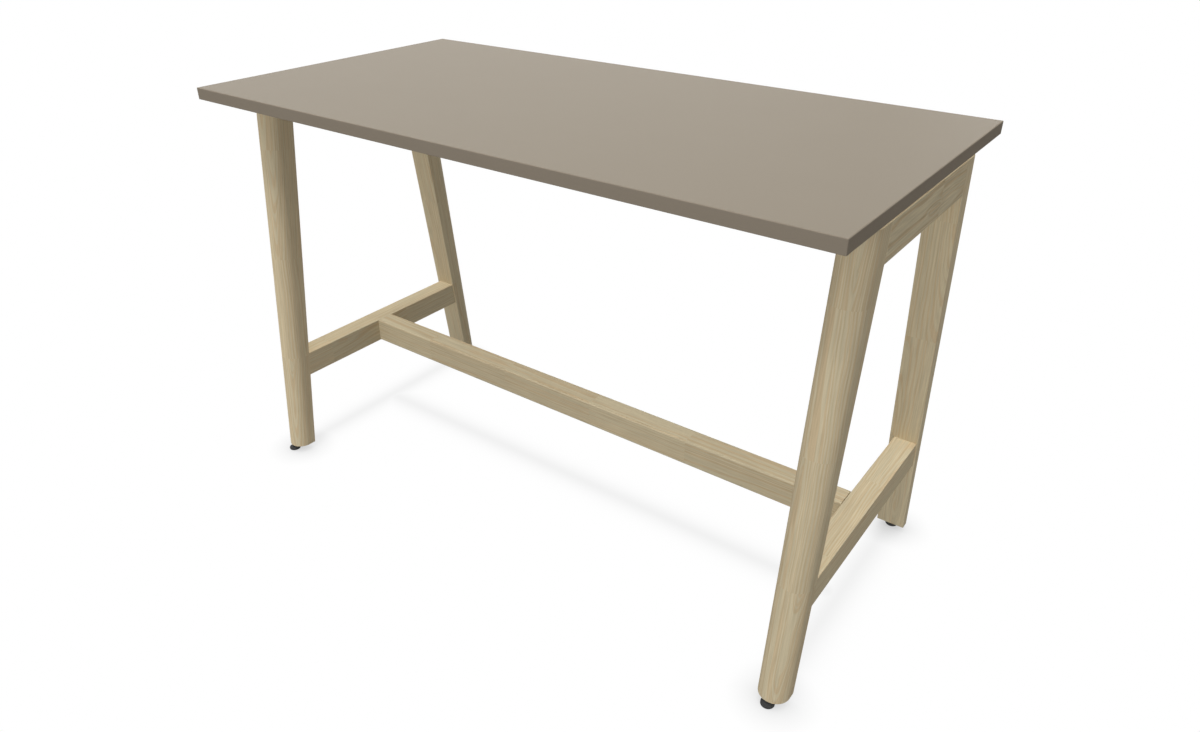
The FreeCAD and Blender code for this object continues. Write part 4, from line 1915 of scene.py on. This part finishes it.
@dataclass
class Studio:
    """A white floor with painted shade close under the table, white surroundings, soft light and the camera.

    Attributes:
        camera_place: where the camera is.
        camera_heading: its heading, counted from X, in radians.
        camera_dip: how far it looks down, in radians.
        lens: its focal length, in millimetres.
        sensor: the width of its picture, in millimetres.
        shift: its sideways and upward shift.
        floor_half: half the floor's width.
        floor_drop: how far the floor lies below the pads.
        floor_grey: the floor's tone where it lights the table from below.
        ambient: how strongly the surroundings light the table.
        foot_shade_reach: how far from a foot the painted shade on the floor reaches.
        foot_shade_depth: how dark the painted shade gets right under a foot.
        bar_shade_depth: how dark the painted shadow gets under the stretchers.
        bar_shade_width: how far to the side that painted shadow reaches.
        bar_shade_edge: how quickly it ends, where 2 is a bell curve.
        bar_shade_drift: how far the painted shadow lies off the stretchers' middle lines.
        lamps: the lamps.
    """

    camera_place: tuple[float, float, float] = (1.2066, -1.5430, 1.4974)
    camera_heading: float = 2.2027
    camera_dip: float = 0.5218
    lens: float = 26.485
    sensor: float = 36.0
    shift: Pair = (-0.0012, 0.0002)
    floor_half: float = 25.0
    floor_drop: float = 0.2 * MM
    floor_grey: float = 0.30
    ambient: float = 0.20
    foot_shade_reach: float = 75 * MM
    foot_shade_depth: float = 0.48
    bar_shade_depth: float = 0.112
    bar_shade_width: float = 36 * MM
    bar_shade_edge: float = 1.6
    bar_shade_drift: Pair = (-13 * MM, 18 * MM)
    lamps: tuple[SunLamp, ...] = (
        SunLamp("key", (0.05, -0.45, 0.89), 0.575),
        SunLamp("front_high", (0.0, -0.42, 0.91), 0.225, shadow=True, spread=14.0),
        SunLamp("right_high", (0.33, -0.33, 0.88), 0.12, shadow=True),
        SunLamp("overhead", (0.0, 0.0, 1.0), 0.105, shadow=True, spread=50.0),
        SunLamp("right_fill", (0.50, -0.71, 0.50), 0.06),
        SunLamp("left_fill", (-0.92, -0.34, 0.20), 0.13),
        SunLamp("back_left_fill", (-0.78, 0.61, 0.14), 0.16, spread=60.0, gloss=1.0),
        SunLamp("back_fill", (0.0, 1.0, 0.0), 0.22, gloss=0.0),
    )

    def build(self) -> None:
        """Sets up the whole studio."""
        self._view()
        self._world()
        self._floor()
        for lamp in self.lamps:
            lamp.build()

    def _view(self) -> None:
        """Places the camera and sets how colours are shown."""
        data = bpy.data.cameras.new("camera")
        data.sensor_fit = "HORIZONTAL"
        data.sensor_width = self.sensor
        data.lens = self.lens
        data.shift_x, data.shift_y = self.shift
        camera = bpy.data.objects.new("camera", data)
        level, down = math.cos(self.camera_dip), -math.sin(self.camera_dip)
        forward = Vector((math.cos(self.camera_heading) * level, math.sin(self.camera_heading) * level, down))
        camera.location = self.camera_place
        camera.rotation_euler = forward.to_track_quat("-Z", "Y").to_euler()
        scene = bpy.context.scene
        scene.collection.objects.link(camera)
        scene.camera = camera
        scene.view_settings.view_transform = "Standard"

    @staticmethod
    def _seen(tree: ShaderTree) -> Signal:
        """Tells what is looked at from what only lights the table.

        Args:
            tree: the floor's or the world's tree.

        Returns:
            1 for what the camera sees, also in a reflection or through glass, and 0 for the rest.
        """
        rays = ("Is Camera Ray", "Is Glossy Ray", "Is Transmission Ray")
        camera, glossy, clear = (tree.node("ShaderNodeLightPath", output=name) for name in rays)
        return tree.math("ADD", camera + glossy, clear, clamp=True)

    def _world(self) -> None:
        """White surroundings that light the table softly."""
        world = bpy.data.worlds.new("studio")
        bpy.context.scene.world = world
        tree = ShaderTree(world)
        soft, white = (
            tree.node("ShaderNodeBackground", None, {"Color": WHITE, "Strength": strength})
            for strength in (self.ambient, 1.0)
        )
        tree.end("ShaderNodeOutputWorld", tree.choose(self._seen(tree), soft, white))

    def _floor(self) -> None:
        """A white floor with painted shade close under the table: a painted shadow under the stretchers and
        painted shade round the feet. It can't be seen from below.
        """
        half = self.floor_half
        outline = ((-half, -half), (half, -half), (half, half), (-half, half))
        shape = Shape()
        shape.mesh.faces.new([shape.mesh.verts.new((x, y, -self.floor_drop)) for x, y in outline])
        floor = shape.to_object("floor")
        material, tree = new_material("white_floor")
        # Painted shade round the feet: ambient occlusion from the legs and pads close by darkens the floor's
        # glow, and no lamp's shadow is used.
        reach = {"Distance": self.foot_shade_reach}
        filled = 1.0 - tree.node("ShaderNodeAmbientOcclusion", {"samples": 32}, reach, "AO")
        # The painted shadow under the stretchers is added to it. It is drawn from the stretchers' places, not
        # cast by a lamp.
        shade = filled * self.foot_shade_depth + self._under_bars(tree) * self.bar_shade_depth
        light = tree.math("SUBTRACT", 1.0, shade, clamp=True)
        sockets = {"Color": tree.combine(light, light, light), "Strength": 1.0}
        glow = tree.node("ShaderNodeEmission", None, sockets)
        matt = tree.node("ShaderNodeBsdfDiffuse", None, {"Color": (*(self.floor_grey,) * 3, 1.0)})
        clear = tree.node("ShaderNodeBsdfTransparent", None, {"Color": WHITE})
        behind = tree.node("ShaderNodeNewGeometry", output="Backfacing")
        above = tree.choose(self._seen(tree), matt, glow)
        tree.end("ShaderNodeOutputMaterial", tree.choose(behind, above, clear))
        floor.data.materials.append(material)

    def _under_bars(self, tree: ShaderTree) -> Signal:
        """Paints a soft shadow on the floor under the stretchers, at their places; no lamp casts it.

        Args:
            tree: the floor's tree.

        Returns:
            The painted shadow's strength: 1 straight under their middle lines, softly down to 0 beside them.
        """
        place = tree.place()
        shade: Value = 0.0
        for node in ("long_stretcher", "cross_stretcher_left", "cross_stretcher_right"):
            low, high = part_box(node)
            middle = (low + high) / 2 + Vector((*self.bar_shade_drift, 0.0))
            half = (high - low) / 2
            reach = (half.x, 0.0, 0.0) if half.x > half.y else (0.0, half.y, 0.0)
            offset = tree.vector_math("SUBTRACT", place, (middle.x, middle.y, 0.0))
            beyond = tree.vector_math("SUBTRACT", tree.vector_math("ABSOLUTE", offset), reach)
            distance = tree.vector_math("LENGTH", tree.vector_math("MAXIMUM", beyond), output="Value")
            power = tree.math("POWER", distance / self.bar_shade_width, self.bar_shade_edge)
            shade = tree.math("MAXIMUM", tree.math("EXPONENT", power * -1.0), shade)
        return shade


# ---------------------------------------------------------------- assembly


def main() -> None:
    """Builds the studio and every sub-assembly."""
    logging.basicConfig(level=logging.INFO, format="%(name)s: %(message)s")
    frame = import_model()
    workshop = Workshop(frame["nodes"])
    Studio().build()
    Tabletop(workshop).build()
    for end in End:
        SideFrame(workshop, end, LEGS[end], TOP_RAILS[end], CROSS_STRETCHERS[end]).build()
    LongStretcher(workshop, LONG_BAR).build()
    UnderTopSteel(workshop).build()
    HiddenJoinery(workshop).build()
    plastic = FOOT_PLASTIC.material("black_plastic")
    steel = DARK_PLATE.material("dark_plated_steel")
    zinc = ZINC.material("zinc_sleeves")
    for side in Side:
        for end in End:
            LevellingFoot(workshop, side, end, plastic, steel, zinc).build()


if __name__ == "__main__":
    main()
